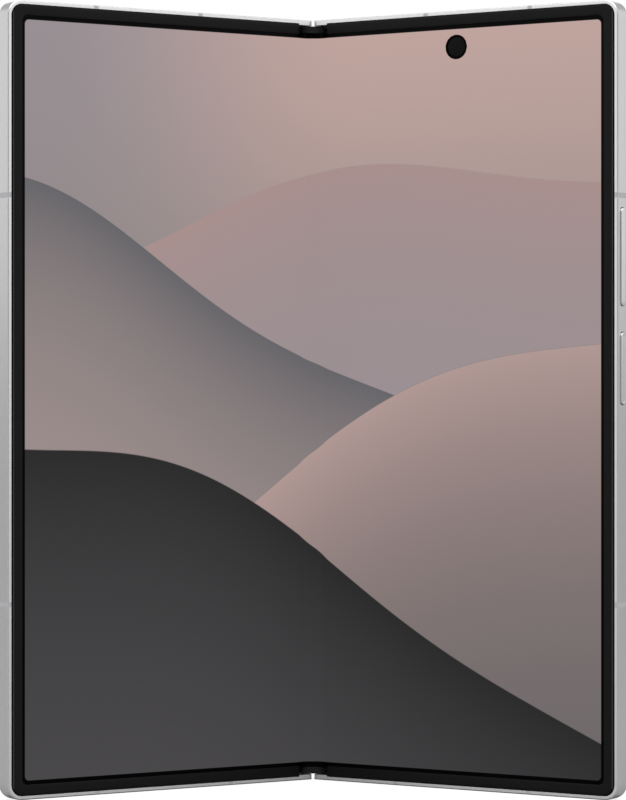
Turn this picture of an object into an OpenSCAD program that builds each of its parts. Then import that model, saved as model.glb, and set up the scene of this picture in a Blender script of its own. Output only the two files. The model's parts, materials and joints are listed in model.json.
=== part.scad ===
// Book-type foldable smartphone, standing partly open on its bottom edge.
// Each half is drawn flat, screen up: x runs out from the fold line, y along the height and
// z is the depth measured from the front rim, so that the back face lies at -half_t.
// The halves are then turned about the two hinge axes and the whole phone is stood up.

/* [Overall] */
// Width of one half, from the fold line to the outer side
half_w = 71.6; // [60:0.1:90]
// Height of the phone
height = 158.4; // [140:0.1:200]
// Thickness of one half
half_t = 4.2; // [4:0.1:5.2]
// Angle between the two screens at rest
open_angle = 115.4; // [60:0.1:175]

/* [Frame] */
// Radius of the outer corners
corner_r = 3.1; // [2.9:0.1:6]
// Width of the front rim beside the bezel
rim_w = 0.75; // [0.7:0.05:1.2]
// Thickness of the side walls
wall_t = 1.6; // [1.4:0.05:2]
// Thickness of the top and bottom walls beside the hinge
end_wall_t = 1.05; // [0.8:0.05:1.2]
// Width of the rim chamfers
chamfer = 0.2; // [0.16:0.02:0.45]
// Depth of the deck under the screen
deck_depth = 1.0; // [1:0.05:1.1]
// Thickness of the deck
deck_t = 0.4; // [0.3:0.05:0.5]
// Width of an antenna band
band_w = 1.0; // [0.6:0.1:1.5]

/* [Screen] */
// Distance from the outer side to the inner edge of the bezel
bezel_in = 3.3; // [3:0.1:5]
// Height of the bezel crown over the rim
bezel_rise = 0.1; // [0.05:0.01:0.15]
// Distance of the bezel ends from the fold line
bezel_end = 3.85; // [3.8:0.05:6]
// Depth of the display surface
display_depth = 0.25; // [0.2:0.01:0.3]
// Thickness of the display
display_t = 0.45; // [0.35:0.05:0.5]
// Half width of the part of the display that bends
bend_w = 4.0; // [3.6:0.1:4.1]
// Diameter of the camera hole in the display
eye_d = 5.05; // [3.4:0.05:5.4]
// Distance of the inner camera from the fold line
eye_x = 34.7; // [20:0.1:50]
// Distance of the inner camera from the top
eye_drop = 7.4; // [6.5:0.1:9]

/* [Hinge] */
// Gap between the two front rims when shut
shut_gap = 0.5; // [0.4:0.05:0.8]
// Depth of the hinge axes
axis_depth = 0.975; // [0.95:0.005:1.02]
// Thickness of the back wall that covers the spine
lap_t = 0.7; // [0.5:0.05:0.8]
// Running gap between the spine and the halves
spine_gap = 0.1; // [0.08:0.01:0.15]
// Wall of the spine housing
housing_t = 0.35; // [0.3:0.01:0.4]
// Distance from the phone's end to the hinge end cap
cap_inset = 1.2; // [1.15:0.05:1.8]
// Thickness of the hinge end cap
cap_t = 1.45; // [0.6:0.05:1.5]
// Half width of the end cap's raised face
cap_half = 2.4; // [2:0.1:2.6]
// Half distance between the two gear arm shafts
shaft_x = 2.0; // [1.95:0.01:2.05]
// Depth of the gear arm shafts and idlers
shaft_depth = 1.95; // [1.92:0.01:2]
// Radius of a gear arm shaft
shaft_r = 0.4; // [0.32:0.01:0.42]
// Radial clearance of the turning journals
journal_gap = 0.03; // [0.02:0.01:0.06]
// Thickness of a gear arm
arm_t = 0.5; // [0.4:0.02:0.55]
// Reach of a gear arm from the fold line
arm_reach = 9.0; // [8:0.1:12]
// Inner radius of a rotator rail
rail_r1 = 1.5; // [1.4:0.01:1.55]
// Outer radius of a rotator rail
rail_r2 = 2.0; // [1.9:0.01:2]
// Distance from the phone's end to a hinge module
module_inset = 9; // [6:0.5:30]

/* [Back] */
// Thickness of the rear glass and cover glass
glass_t = 0.5; // [0.4:0.02:0.55]
// Distance from the fold line to the rear glass
glass_start = 2.95; // [2.9:0.05:5]
// Width of the camera island
island_w = 16; // [14:0.5:18]
// Length of the camera island
island_l = 47; // [44:0.5:56]
// Rise of the camera island over the glass
island_rise = 1.1; // [0.8:0.1:2]
// Diameter of a camera ring
ring_d = 13.2; // [12:0.1:13.8]
// Distance from the outer side to the island centre
island_x_inset = 12.4; // [11:0.1:16]
// Distance from the top to the island's upper end
island_drop = 4.6; // [4:0.1:10]
// Pitch of the rear cameras
camera_pitch = 15.2; // [14.4:0.1:16]

/* [Keys and ports] */
// Length of the volume key
volume_l = 19.4; // [14:0.1:24]
// Height of the volume key's centre over mid height
volume_mid = 28.35; // [24:0.05:34]
// Length of the power key
power_l = 14.3; // [10:0.1:18]
// Height of the power key's centre over mid height
power_mid = 6.25; // [2:0.05:9]
// Width of the keys
key_w = 1.8; // [1.2:0.1:2]
// Rise of the keys over the side
key_rise = 0.3; // [0.2:0.05:0.5]
// Clearance round the keys
key_gap = 0.1; // [0.08:0.01:0.2]
// Width of the USB-C socket
usb_w = 8.9; // [8.8:0.1:9.4]
// Thickness of the USB-C socket
usb_t = 2.6; // [2.5:0.05:2.7]
// Distance of the USB-C socket from the fold line
usb_x = 36; // [30:0.5:42]
// Width of the SIM tray
sim_w = 14; // [12.8:0.1:15]
// Length of the SIM tray
sim_l = 19; // [16:0.5:24]
// Distance of the SIM tray from the fold line
sim_x = 36; // [32:0.5:40]

/* [Batteries] */
// Lower edge of the batteries
battery_y = 42; // [40:1:50]
// Length of the left battery
left_battery_l = 74; // [60:1:76]
// Length of the right battery
right_battery_l = 56; // [40:1:57]

/* [Hidden] */

$fn = 48;
eps = 0.01;                 // overshoot of a cut
snug = 0.05;                // small assembly gap
loose = 0.3;                // gap round an inner part

// hinge
rest_fold = (180 - open_angle) / 2;
axis_x = shut_gap / 2 + axis_depth;
cavity_r = half_t - lap_t - axis_depth;
rail_wall = 0.85;           // wall of the hinge rail round the spine
spine_r = cavity_r - spine_gap;
spine_in_r = spine_r - housing_t;
spine_back = axis_depth + spine_r;
floor_depth = spine_back - housing_t;
lip_gap = 0.15;                                 // between a gear arm and the housing's lips
bend_gap = 0.2;                                 // between the axes and the parts under the bend
housing_lip = shaft_depth + arm_t / 2 + lip_gap;    // depth of the housing's side lips
root_top = axis_depth + bend_gap;               // highest place of the parts under the bend
spine_y0 = cap_inset + cap_t;
bezel_lap = 0.5;                                // how far the bezel's lip laps over the display
edge_in = bezel_in - bezel_lap;                 // display edge, under the bezel's lip
deck_back = deck_depth + deck_t;
lap_x = 0.1;                                    // edge of the lapping back wall
end_wall_x = shut_gap / 2 + 0.1;                // inner end of the top and bottom walls
rail_end = axis_x + cavity_r + rail_wall;       // outer side of the hinge rail
swing_r = axis_x - 0.3;                         // end walls stay this near the axis
seat_r = 1.5;                                   // corner radius of the display and its plate
lip_r = 1.2;                                    // inner corner radius of the bezel

// gears
teeth = 10;
pitch_r = shaft_x / 3;
gear_module = 2 * pitch_r / teeth;
gear_tip_r = pitch_r + 0.9 * gear_module;
gear_root_r = pitch_r - 1.15 * gear_module;
gear_l = 2.0;
tooth_half = 0.205;                             // tooth half width at the pitch line, in pitches
tip_cut = 0.085;                                // narrowing of a tooth at its tip, in pitches
root_swell = 0.07;                              // widening of a tooth at its root, in pitches
tooth_gap = 0.08;                               // bracket to gear tips

// hinge module: places along its length, from its outer end
bracket_l = 22.5;
clip_y = 1.5;
clip_l = 1.5;
gear_y = 4.0;
rail_l = 3.4;
rail_a_y = 8.6;
rail_b_y = 15.4;
screw_ys = [7.2, 13.7, 20.8];
screw_r = 0.45;
screw_head_r = 0.85;
screw_head_t = 0.4;
foot_end = rail_end + 4.9;
foot_start = axis_x + rail_r1 + 0.03;
foot_t = 0.5;
foot_screw_xs = [rail_end + 1.4, rail_end + 3.6];
guide_wall = 0.9;                               // guide past each side of a tongue
guide_past = 0.5;                               // guide past the tongue's end
guide_lap = 0.4;                                // guide into the hinge rail
guide_floor = 0.65;                             // guide below the tongue
tongue_near = 0.25;                             // room above a tongue, which slides and tilts
tongue_far = 0.33;                              // and below it
tongue_end = 0.15;                              // and past its end
journal_l = 0.9;                                // shaft past each end of a gear
idler_r = 0.25;
clip_r = 0.74;
clip_slot = 0.3;
clip_tail_gap = 0.12;                           // clip tail to the housing's floor
rail_from = 20;                                 // angles of the rail, flat, below horizontal
rail_to = 150;
groove_to = 154;

// half places
seat_depth = half_t - snug - glass_t;
side_x = half_w - wall_t;
eye_y = height - eye_drop;
island_x = half_w - island_x_inset;
island_y = height - island_drop - island_l / 2;
lens_ys = [island_y - camera_pitch, island_y, island_y + camera_pitch];
lens_hole_r = ring_d / 2 - 1.0;
lens_r = ring_d / 2 - 1.4;
ring_rise = 0.9;
island_back = half_t - snug + island_rise;
flash_x = island_x - island_w / 2 - 5;
flash_y = lens_ys[2];
flash_r = 2.4;
cover_eye_x = 36;
cover_eye_y = height - 8.2;
cover_eye_r = 1.9;
cover_panel_t = 0.6;
left_floor = seat_depth - cover_panel_t;
key_depth = half_t / 2;
key_neck = 0.9;
slot_corner_r = 0.6;                            // corners of a key's mouth in the side wall
key_travel = 0.25;
cable_y = height / 2;
cable_w = 12;
cable_t = 0.12;
cable_depth = 2.62;
cable_bend = housing_lip + 0.35;                // depth of the ribbon beside the fold line
cable_slot = 0.25;                              // room above the ribbon in the hinge rail
cable_end = 1.5;                                // ribbon inside each half
port_drop = 0.25;                               // the ports lie this far behind mid thickness
usb_depth = half_t / 2 + port_drop;
tongue_w = 6.7;                                 // contact tongue of the socket
tongue_t = 0.7;
tongue_y = 1.4;
usb_l = 7.2;
usb_wall = 0.12;
sim_t = 0.9;
sim_depth = deck_back + 0.2 + sim_t / 2;
sim_face_w = sim_w + 1;
sim_face_t = sim_t + 0.3;
sim_face_l = 1.1;
sound_xs = [56, 58, 60, 62, 64, 66];
sound_r = 0.55;
sound_depth = usb_depth;
ear_r = 0.385;
speaker_edge = 2;                               // a speaker's box past its outer holes
mic_x = 26;
mic_r = 0.35;
ear_xs = [30, 32, 34, 36, 38, 40, 42];
top_bands = [27.6, 51.8];
bottom_bands = [20.4, 51.5];
side_band = 40.5;
left_magnet_ys = [24, 66, 110, 138];
right_magnet_ys = [24, 50, 138];     // the keys and their switches lie between
magnet_w = 2.2;
magnet_l = 10;
magnet_t = 1.2;
battery_x = 14;
battery_side = 10;                              // battery to the outer side
right_battery_t = 1.75;
tab_w = 16;                                     // folded tab of a battery, with its leads
tab_l = 3;
tab_t = 0.5;
board_gap = 4;                                  // battery to the board above it
board_t = 0.5;
barrel_r = 3.2;                                 // barrel of the cover camera
coil_r1 = 9.5;
coil_r2 = 19;
stem_w = 4;                                     // key stem, along the side
dome_r = 0.7;                                   // dome switch behind a key
dome_rise = 0.08;
flex_t = 0.15;

// the phone's front and back, from the halves' extreme corners, so that it stands centred
front_reach = (half_w - chamfer - axis_x) * sin(rest_fold) + axis_depth * cos(rest_fold) - axis_depth;
back_reach = (axis_x - lap_x) * sin(rest_fold) + (half_t - axis_depth) * cos(rest_fold) + axis_depth;
stand_y = (front_reach - back_reach) / 2;

silver = [0.80, 0.80, 0.81];
dark = [0.13, 0.13, 0.14];
steel = [0.62, 0.63, 0.65];

// ---------- placing ----------

module stood() translate([0, stand_y, 0]) rotate([90, 0, 0]) children();

module folded(turn) translate([axis_x, 0, -axis_depth]) rotate([0, -turn, 0])
    translate([-axis_x, 0, axis_depth]) children();

module on_right() stood() folded(rest_fold) children();

module on_left() stood() mirror([1, 0, 0]) folded(rest_fold) children();

module on_left_shaft() stood() mirror([1, 0, 0]) about_shaft() children();

module on_right_shaft() stood() about_shaft() children();

module about_shaft() translate([shaft_x, 0, -shaft_depth]) rotate([0, -rest_fold, 0])
    translate([-shaft_x, 0, shaft_depth]) children();

module at_bottom() translate([0, module_inset, 0]) children();

module at_top() translate([0, height - module_inset, 0]) mirror([0, 1, 0]) children();

// ---------- shared shapes ----------

// plate between two depths
module slab(near, far) translate([0, 0, -far]) linear_extrude(far - near) children();

// section in x and z, run along y
module along(y0, y1) translate([0, y1, 0]) rotate([90, 0, 0]) linear_extrude(y1 - y0) children();

module box(x0, x1, y0, y1, near, far) translate([x0, y0, -far]) cube([x1 - x0, y1 - y0, far - near]);

// rod along y
module rod(x, depth, r, y0, y1) translate([x, y1, -depth]) rotate([90, 0, 0]) cylinder(r = r, h = y1 - y0);

// rod along the depth
module stud(x, y, r, near, far) translate([x, y, -far]) cylinder(r = r, h = far - near);

// outline of a half, round at its two outer corners, set in from the three outer sides
module outline(inset, r, x0) {
    x1 = half_w - inset;
    y0 = inset;
    y1 = height - inset;
    translate([x0, y0]) square([x1 - r - x0, y1 - y0]);
    translate([x1 - r - eps, y0 + r]) square([r + eps, y1 - y0 - 2 * r]);
    for (y = [y0 + r, y1 - r]) translate([x1 - r, y]) circle(r);
}

// section, as [inset, z] points, run along the bottom, the outer side and the top
module edge_run(section, x0) {
    bottom_run(section, x0, half_w - corner_r);
    translate([0, height, 0]) mirror([0, 1, 0]) bottom_run(section, x0, half_w - corner_r);
    side_run(section, corner_r, height - corner_r);
    for (corner = [[corner_r, -90], [height - corner_r, 0]])
        translate([half_w - corner_r, corner[0], 0]) rotate([0, 0, corner[1]])
            rotate_extrude(angle = 90) translate([corner_r, 0]) mirror([1, 0]) polygon(section);
}

module bottom_run(section, x0, x1) translate([x0, 0, 0]) rotate([90, 0, 90])
    linear_extrude(x1 - x0) polygon(section);

module top_run(section, x0, x1) translate([0, height, 0]) mirror([0, 1, 0]) bottom_run(section, x0, x1);

module side_run(section, y0, y1) translate([half_w, y1, 0]) mirror([1, 0, 0]) rotate([90, 0, 0])
    linear_extrude(y1 - y0) polygon(section);

// slot with round ends along x, in a plate of the x-y plane
module slot2d(x, y, l, w) {
    translate([x - (l - w) / 2, y - w / 2]) square([l - w, w]);
    for (s = [-1, 1]) translate([x + s * (l - w) / 2, y]) circle(w / 2);
}

// ---------- frame ----------

wall_section = [[0, -chamfer], [chamfer, 0], [rim_w, 0], [rim_w, -deck_depth], [wall_t, -deck_depth],
    [wall_t, -seat_depth], [rim_w, -seat_depth], [rim_w, -half_t], [chamfer, -half_t],
    [0, chamfer - half_t]];
end_section = [[0, -chamfer], [chamfer, 0], [end_wall_t, 0], [end_wall_t, -half_t],
    [chamfer, -half_t], [0, chamfer - half_t]];
band_in = 0.5;
band_section = [[0, -chamfer], [chamfer, 0], [rim_w, 0], [rim_w, -band_in], [band_in, -band_in],
    [band_in, band_in - half_t], [rim_w, band_in - half_t], [rim_w, -half_t], [chamfer, -half_t],
    [0, chamfer - half_t]];

module bands() {
    for (x = top_bands) top_run(band_section, x - band_w / 2, x + band_w / 2);
    for (x = bottom_bands) bottom_run(band_section, x - band_w / 2, x + band_w / 2);
    for (s = [-1, 1]) side_run(band_section, height / 2 + s * side_band - band_w / 2,
        height / 2 + s * side_band + band_w / 2);
}

// rail beside the hinge: it laps over the spine and clears it over the whole travel
module hinge_rail() along(0, height) difference() {
    translate([lap_x, -half_t]) square([rail_end - lap_x, half_t - deck_depth]);
    translate([axis_x, -axis_depth]) circle(cavity_r);
    translate([lap_x - 1, -(half_t - lap_t)]) square([axis_x - lap_x + 1, half_t]);
    translate([glass_start - snug, -half_t - eps]) square([rail_end, half_t - seat_depth + eps]);
}

// end walls beside the hinge, rounded so that they never cross the middle
module end_walls() difference() {
    union() {
        bottom_run(end_section, end_wall_x, rail_end + eps);
        top_run(end_section, end_wall_x, rail_end + eps);
    }
    along(-1, height + 1) difference() {
        translate([-1, -axis_depth]) square([axis_x + 1, axis_depth + 1]);
        translate([axis_x, -axis_depth]) circle(swing_r);
    }
    box(glass_start - snug, rail_end + 1, rim_w, height - rim_w, seat_depth, half_t + 1);
    box(bezel_end - snug, rail_end + 1, rim_w, height - rim_w, -1, deck_depth);
}

// guide on the half in which a gear arm's tongue slides, and the rail's openings
module arm_guide_block() box(rail_end - guide_lap, arm_reach + guide_past, gear_y - guide_wall,
    gear_y + gear_l + guide_wall, deck_back - eps, shaft_depth + arm_t / 2 + guide_floor);

module arm_guide_pocket() box(axis_x, arm_reach + tongue_end, gear_y - snug * 2,
    gear_y + gear_l + snug * 2, shaft_depth - arm_t / 2 - tongue_near, shaft_depth + arm_t / 2 + tongue_far);

module rail_window(y) box(axis_x, foot_end + 0.1, y - snug * 2, y + rail_l + snug * 2,
    deck_back, deck_back + foot_t + snug * 2);

// frame shared by both halves; rail_y is the place of this half's rotator in a hinge module
module frame_blank(rail_y) difference() {
    union() {
        edge_run(wall_section, rail_end);
        slab(deck_depth, deck_back) outline(wall_t - snug, corner_r - wall_t + snug, rail_end - snug);
        hinge_rail();
        end_walls();
        at_bottom() arm_guide_block();
        at_top() arm_guide_block();
    }
    bands();
    at_bottom() frame_hinge_cuts(rail_y);
    at_top() frame_hinge_cuts(rail_y);
    box(axis_x, rail_end + 1, cable_y - cable_w / 2 - loose, cable_y + cable_w / 2 + loose,
        cable_depth - cable_slot, cable_depth + loose);
}

module frame_hinge_cuts(rail_y) {
    arm_guide_pocket();
    rail_window(rail_y);
    for (x = foot_screw_xs) stud(x, rail_y + rail_l / 2, screw_r, deck_depth - 1, deck_back + 1);
}

module left_frame() color(silver) on_left() difference() {
    frame_blank(rail_b_y);
    // SIM tray's mouth
    box(sim_x - sim_face_w / 2 - snug, sim_x + sim_face_w / 2 + snug, -1, sim_face_l,
        sim_depth - sim_face_t / 2 - snug, sim_depth + sim_face_t / 2 + snug);
    box(sim_x - sim_w / 2 - snug, sim_x + sim_w / 2 + snug, -1, wall_t + 1,
        sim_depth - sim_t / 2 - snug, sim_depth + sim_t / 2 + snug);
    // earpiece outlet
    for (x = ear_xs) rod(x, half_t / 2, ear_r, height - wall_t - 1, height + 1);
}

module right_frame() color(silver) on_right() difference() {
    frame_blank(rail_a_y);
    key_slot(volume_mid, volume_l);
    key_slot(power_mid, power_l);
    stud(eye_x, eye_y, eye_d / 2 - 0.1, deck_depth - 1, deck_back + 1);
    // USB-C mouth and its place in the deck
    along(-1, usb_l + snug) slot2d(usb_x, -usb_depth, usb_w + 2 * eps, usb_t + 2 * eps);
    for (x = sound_xs) rod(x, sound_depth, sound_r, -1, wall_t + 1);
    rod(mic_x, sound_depth, mic_r, -1, wall_t + 1);
}

module left_antenna_bands() color([0.72, 0.72, 0.72]) on_left() bands();

module right_antenna_bands() color([0.72, 0.72, 0.72]) on_right() bands();

// ---------- bezel, display and plate ----------

module bezel() {
    slab(-bezel_rise, display_depth - snug) difference() {
        outline(rim_w + snug, corner_r - rim_w - snug, bezel_end);
        outline(bezel_in, lip_r, bezel_end - 1);
    }
    slab(display_depth - snug - eps, deck_depth) difference() {
        outline(rim_w + snug, corner_r - rim_w - snug, bezel_end);
        outline(edge_in - snug, seat_r + 0.1, bezel_end - 1);
    }
}

module left_bezel() color(dark) on_left() bezel();

module right_bezel() color(dark) on_right() bezel();

module screen_sheet(near, far, x0) slab(near, far) outline(edge_in, seat_r, x0);

module display_left() color([0.45, 0.42, 0.42]) on_left()
    screen_sheet(display_depth, display_depth + display_t, bend_w);

module display_right() color([0.45, 0.42, 0.42]) on_right() difference() {
    screen_sheet(display_depth, display_depth + display_t, bend_w);
    stud(eye_x, eye_y, eye_d / 2, 0, deck_depth);
}

// Point of the bending zone: a point at x keeps the turn of the half at the zone's edge and
// none at the fold line, with a smooth step between.
function bent(x, depth) = let (t = x / bend_w, turn = rest_fold * t * t * (3 - 2 * t))
    [axis_x + (x - axis_x) * cos(turn) - (axis_depth - depth) * sin(turn),
     -axis_depth + (x - axis_x) * sin(turn) + (axis_depth - depth) * cos(turn)];

// the same on both sides of the fold line
function bent_either(x, depth) = let (p = bent(abs(x), depth)) [x < 0 ? -p[0] : p[0], p[1]];
bend_steps = 12;

module display_fold() color([0.42, 0.40, 0.40]) stood() along(edge_in, height - edge_in)
    polygon(concat(
        [for (i = [-bend_steps : bend_steps]) bent_either(bend_w * i / bend_steps, display_depth)],
        [for (i = [bend_steps : -1 : -bend_steps])
            bent_either(bend_w * i / bend_steps, display_depth + display_t)]));

module support_plate() slab(display_depth + display_t, deck_depth)
    outline(edge_in, seat_r, bend_w + 0.2);

module left_support_plate() color(steel) on_left() support_plate();

module right_support_plate() color(steel) on_right() difference() {
    support_plate();
    stud(eye_x, eye_y, eye_d / 2, 0, deck_depth + 1);
}

// ---------- hinge spine ----------

// outline of the spine: two arcs about the hinge axes joined by a flat back
module spine_outline(r, back) {
    for (s = [-1, 1]) translate([s * axis_x, -axis_depth]) circle(r);
    translate([-axis_x, -back]) square([2 * axis_x, back - axis_depth]);
}

module above(depth) translate([-half_w, -depth]) square([2 * half_w, half_t * 2]);

module hinge_housing() color(silver) stood() along(spine_y0, height - spine_y0) difference() {
    spine_outline(spine_r, spine_back);
    spine_outline(spine_in_r, floor_depth);
    above(housing_lip);
}

module end_cap() along(cap_inset, cap_inset + cap_t) difference() {
    spine_outline(spine_r - snug, spine_back - snug);
    above(display_depth + 0.1);
    for (s = [-1, 1]) translate([s * (cap_half + half_t), -root_top + half_t])
        square([2 * half_t, 2 * half_t], center = true);
}

module hinge_end_cap_bottom() color(dark) stood() end_cap();

module hinge_end_cap_top() color(dark) stood() translate([0, height, 0]) mirror([0, 1, 0]) end_cap();

// ring sector about the right hinge axis, between two angles measured down from +x
module arc_band(r1, r2, a1, a2) intersection() {
    translate([axis_x, -axis_depth]) difference() {
        circle(r2);
        circle(r1);
    }
    translate([axis_x, -axis_depth]) polygon(concat([[0, 0]],
        [for (i = [0 : 4]) let (a = -(a1 + (a2 - a1) * i / 4)) 2 * r2 * [cos(a), sin(a)]]));
}

module groove(y) along(y - snug, y + rail_l + snug)
    arc_band(rail_r1 - snug, spine_in_r + snug, -30, groove_to);

// everything that the right gear arm, its clip and its rotator need out of the bracket
module arm_space() {
    along(gear_y - snug, gear_y + gear_l + snug) {
        for (x = [shaft_x, pitch_r]) translate([x, -shaft_depth]) circle(gear_tip_r + tooth_gap);
        translate([shaft_x - arm_t / 2 - 0.1, -(shaft_depth + arm_t / 2 + 0.1)]) square([half_t, half_t]);
    }
    for (x = [shaft_x, pitch_r]) {
        r = x == shaft_x ? shaft_r : idler_r;
        rod(x, shaft_depth, r + journal_gap, x == shaft_x ? clip_y - 1 : gear_y - 1, gear_y + gear_l + 1);
    }
    box(shaft_x - clip_r - snug, shaft_x + 2, clip_y - snug, clip_y + clip_l + snug, 0, half_t);
}

module bracket() difference() {
    along(0, bracket_l) difference() {
        spine_outline(spine_in_r - 0.025, floor_depth);
        above(root_top);
    }
    arm_space();
    mirror([1, 0, 0]) arm_space();
    groove(rail_a_y);
    mirror([1, 0, 0]) groove(rail_b_y);
    for (y = screw_ys) {
        stud(0, y, screw_r, 0, floor_depth + 1);
        stud(0, y, screw_head_r + snug, 0, root_top + screw_head_t);
    }
}

module hinge_bracket_bottom() color(steel) stood() at_bottom() bracket();

module hinge_bracket_top() color(steel) stood() at_top() bracket();

module bracket_screws() for (y = screw_ys) {
    stud(0, y, screw_r - snug, root_top + screw_head_t - eps, floor_depth);
    difference() {
        stud(0, y, screw_head_r, root_top, root_top + screw_head_t);
        stud(0, y, screw_r / 2, root_top - 1, root_top + screw_head_t / 2);
    }
}

module hinge_screws() color([0.3, 0.3, 0.32]) stood() {
    at_bottom() bracket_screws();
    at_top() bracket_screws();
}

// split ring that grips a gear arm shaft, with its tail on the housing's floor
module clip() along(clip_y, clip_y + clip_l) difference() {
    union() {
        translate([shaft_x, -shaft_depth]) circle(clip_r);
        translate([shaft_x - clip_slot, -floor_depth + clip_tail_gap])
            square([clip_slot, floor_depth - shaft_depth]);
    }
    translate([shaft_x, -shaft_depth]) circle(shaft_r + journal_gap);
    translate([shaft_x - clip_slot / 2, -shaft_depth]) square([clip_slot, 2]);
}

module torque_clips() color([0.45, 0.42, 0.36]) stood() {
    at_bottom() both_clips();
    at_top() both_clips();
}

module both_clips() {
    clip();
    mirror([1, 0, 0]) clip();
}

// ---------- gears and arms ----------

// spur gear outline; phase is the angle of a tooth
function gear_point(r, a) = r * [cos(a), sin(a)];
module gear_outline(phase) {
    pitch = 360 / teeth;
    polygon([for (i = [0 : teeth - 1], k = [0 : 3])
        let (a = phase + i * pitch, flank = k < 2 ? -1 : 1, tip = k == 1 || k == 2)
        gear_point(tip ? gear_tip_r : gear_root_r,
            a + flank * pitch * (tip ? tooth_half - tip_cut : tooth_half + root_swell))]);
}

// at rest the arm gears have a gap facing the idlers, whose teeth stand half a pitch on
half_pitch = 180 / teeth;

module gear_arm(rest_phase) {
    along(gear_y, gear_y + gear_l) {
        translate([shaft_x, -shaft_depth]) gear_outline(rest_phase - rest_fold);
        translate([shaft_x, -shaft_depth - arm_t / 2]) square([arm_reach - shaft_x, arm_t]);
    }
    rod(shaft_x, shaft_depth, shaft_r, clip_y - journal_l, gear_y + gear_l + journal_l);
}

module left_gear_arm_bottom() color(steel) on_left_shaft() at_bottom() gear_arm(half_pitch);

module left_gear_arm_top() color(steel) on_left_shaft() at_top() gear_arm(half_pitch);

module right_gear_arm_bottom() color(steel) on_right_shaft() at_bottom() gear_arm(0);

module right_gear_arm_top() color(steel) on_right_shaft() at_top() gear_arm(0);

module idler(phase) {
    along(gear_y, gear_y + gear_l) translate([pitch_r, -shaft_depth]) gear_outline(phase);
    rod(pitch_r, shaft_depth, idler_r, gear_y - journal_l, gear_y + gear_l + journal_l);
}

module right_idler_gears() color(steel) stood() {
    at_bottom() idler(half_pitch);
    at_top() idler(half_pitch);
}

module left_idler_gears() color(steel) stood() mirror([1, 0, 0]) {
    at_bottom() idler(0);
    at_top() idler(0);
}

// rotator: arc rail about the hinge axis, with a foot screwed under the deck
module rotator(y) difference() {
    along(y, y + rail_l) {
        arc_band(rail_r1, rail_r2, rail_from, rail_to);
        translate([foot_start, -(deck_back + foot_t)]) square([foot_end - foot_start, foot_t]);
    }
    for (x = foot_screw_xs) stud(x, y + rail_l / 2, screw_r, 0, half_t);
}

module right_rotator_bottom() color(steel) on_right() at_bottom() rotator(rail_a_y);

module right_rotator_top() color(steel) on_right() at_top() rotator(rail_a_y);

module left_rotator_bottom() color(steel) on_left() at_bottom() rotator(rail_b_y);

module left_rotator_top() color(steel) on_left() at_top() rotator(rail_b_y);

module foot_screws(y) for (x = foot_screw_xs) {
    stud(x, y + rail_l / 2, screw_r - snug, deck_depth, deck_back + foot_t + eps);
    stud(x, y + rail_l / 2, screw_head_r, deck_back + foot_t, deck_back + foot_t + screw_head_t);
}

module left_rotator_screws() color([0.3, 0.3, 0.32]) on_left() {
    at_bottom() foot_screws(rail_b_y);
    at_top() foot_screws(rail_b_y);
}

module right_rotator_screws() color([0.3, 0.3, 0.32]) on_right() {
    at_bottom() foot_screws(rail_a_y);
    at_top() foot_screws(rail_a_y);
}

// ribbon that carries the signals through the spine, at mid height
function in_half(x, depth) = [axis_x + (x - axis_x) * cos(rest_fold) - (axis_depth - depth) * sin(rest_fold),
    -axis_depth + (x - axis_x) * sin(rest_fold) + (axis_depth - depth) * cos(rest_fold)];
function mirrored(points) = [for (i = [len(points) - 1 : -1 : 0]) [-points[i][0], points[i][1]]];
cable_far = [[shaft_x, -cable_bend], in_half(rail_end, cable_depth + cable_t),
    in_half(rail_end + cable_end, cable_depth + cable_t)];
cable_near = [in_half(rail_end + cable_end, cable_depth), in_half(rail_end, cable_depth),
    [shaft_x, cable_t - cable_bend]];

module hinge_flex_cable() color([0.75, 0.5, 0.2]) stood()
    along(cable_y - cable_w / 2, cable_y + cable_w / 2) polygon(concat(
        mirrored(cable_far), [[0, snug - floor_depth]], cable_far,
        cable_near, [[0, snug + cable_t - floor_depth]], mirrored(cable_near)));

// ---------- left half ----------

// pouch from the deck down to a depth, with the folded tab of its leads
module battery(far, l) {
    slab(deck_back, far) translate([battery_x, battery_y]) square([half_w - battery_x - battery_side, l]);
    slab(deck_back, deck_back + tab_t) translate([(half_w - tab_w) / 2, battery_y + l - eps])
        square([tab_w, tab_l]);
}

module left_battery() color([0.2, 0.2, 0.22]) on_left() {
    battery(left_floor - loose, left_battery_l);
}

module left_board() color([0.1, 0.3, 0.18]) on_left() difference() {
    y0 = battery_y + left_battery_l + board_gap;
    chips = [[18, 12, 10], [42, 8, 8]];     // place from the fold line, width and length
    union() {
        slab(deck_back, deck_back + board_t) translate([battery_x, y0])
            square([half_w - battery_x - battery_side, height - y0 - 16]);
        for (c = chips) slab(deck_back + board_t - eps, left_floor - loose) translate([c[0], y0 + 4])
            square([c[1], c[2]]);
    }
    stud(cover_eye_x, cover_eye_y, 4.2, 0, half_t);
}

module cover_outline() outline(rim_w + snug, corner_r - rim_w - snug, glass_start);

module cover_glass() color([0.06, 0.06, 0.07]) on_left() slab(seat_depth, half_t - snug) cover_outline();

module cover_display_panel() color([0.08, 0.08, 0.09]) on_left() difference() {
    slab(left_floor, seat_depth) outline(wall_t + loose, 2, rail_end + loose);
    stud(cover_eye_x, cover_eye_y, cover_eye_r + 0.1, 0, half_t);
    // room for the tongues' guides and the earpiece
    at_bottom() box(0, arm_reach + 1, gear_y - 1.2, gear_y + gear_l + 1.2, 0, half_t);
    at_top() box(0, arm_reach + 1, gear_y - 1.2, gear_y + gear_l + 1.2, 0, half_t);
}

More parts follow.
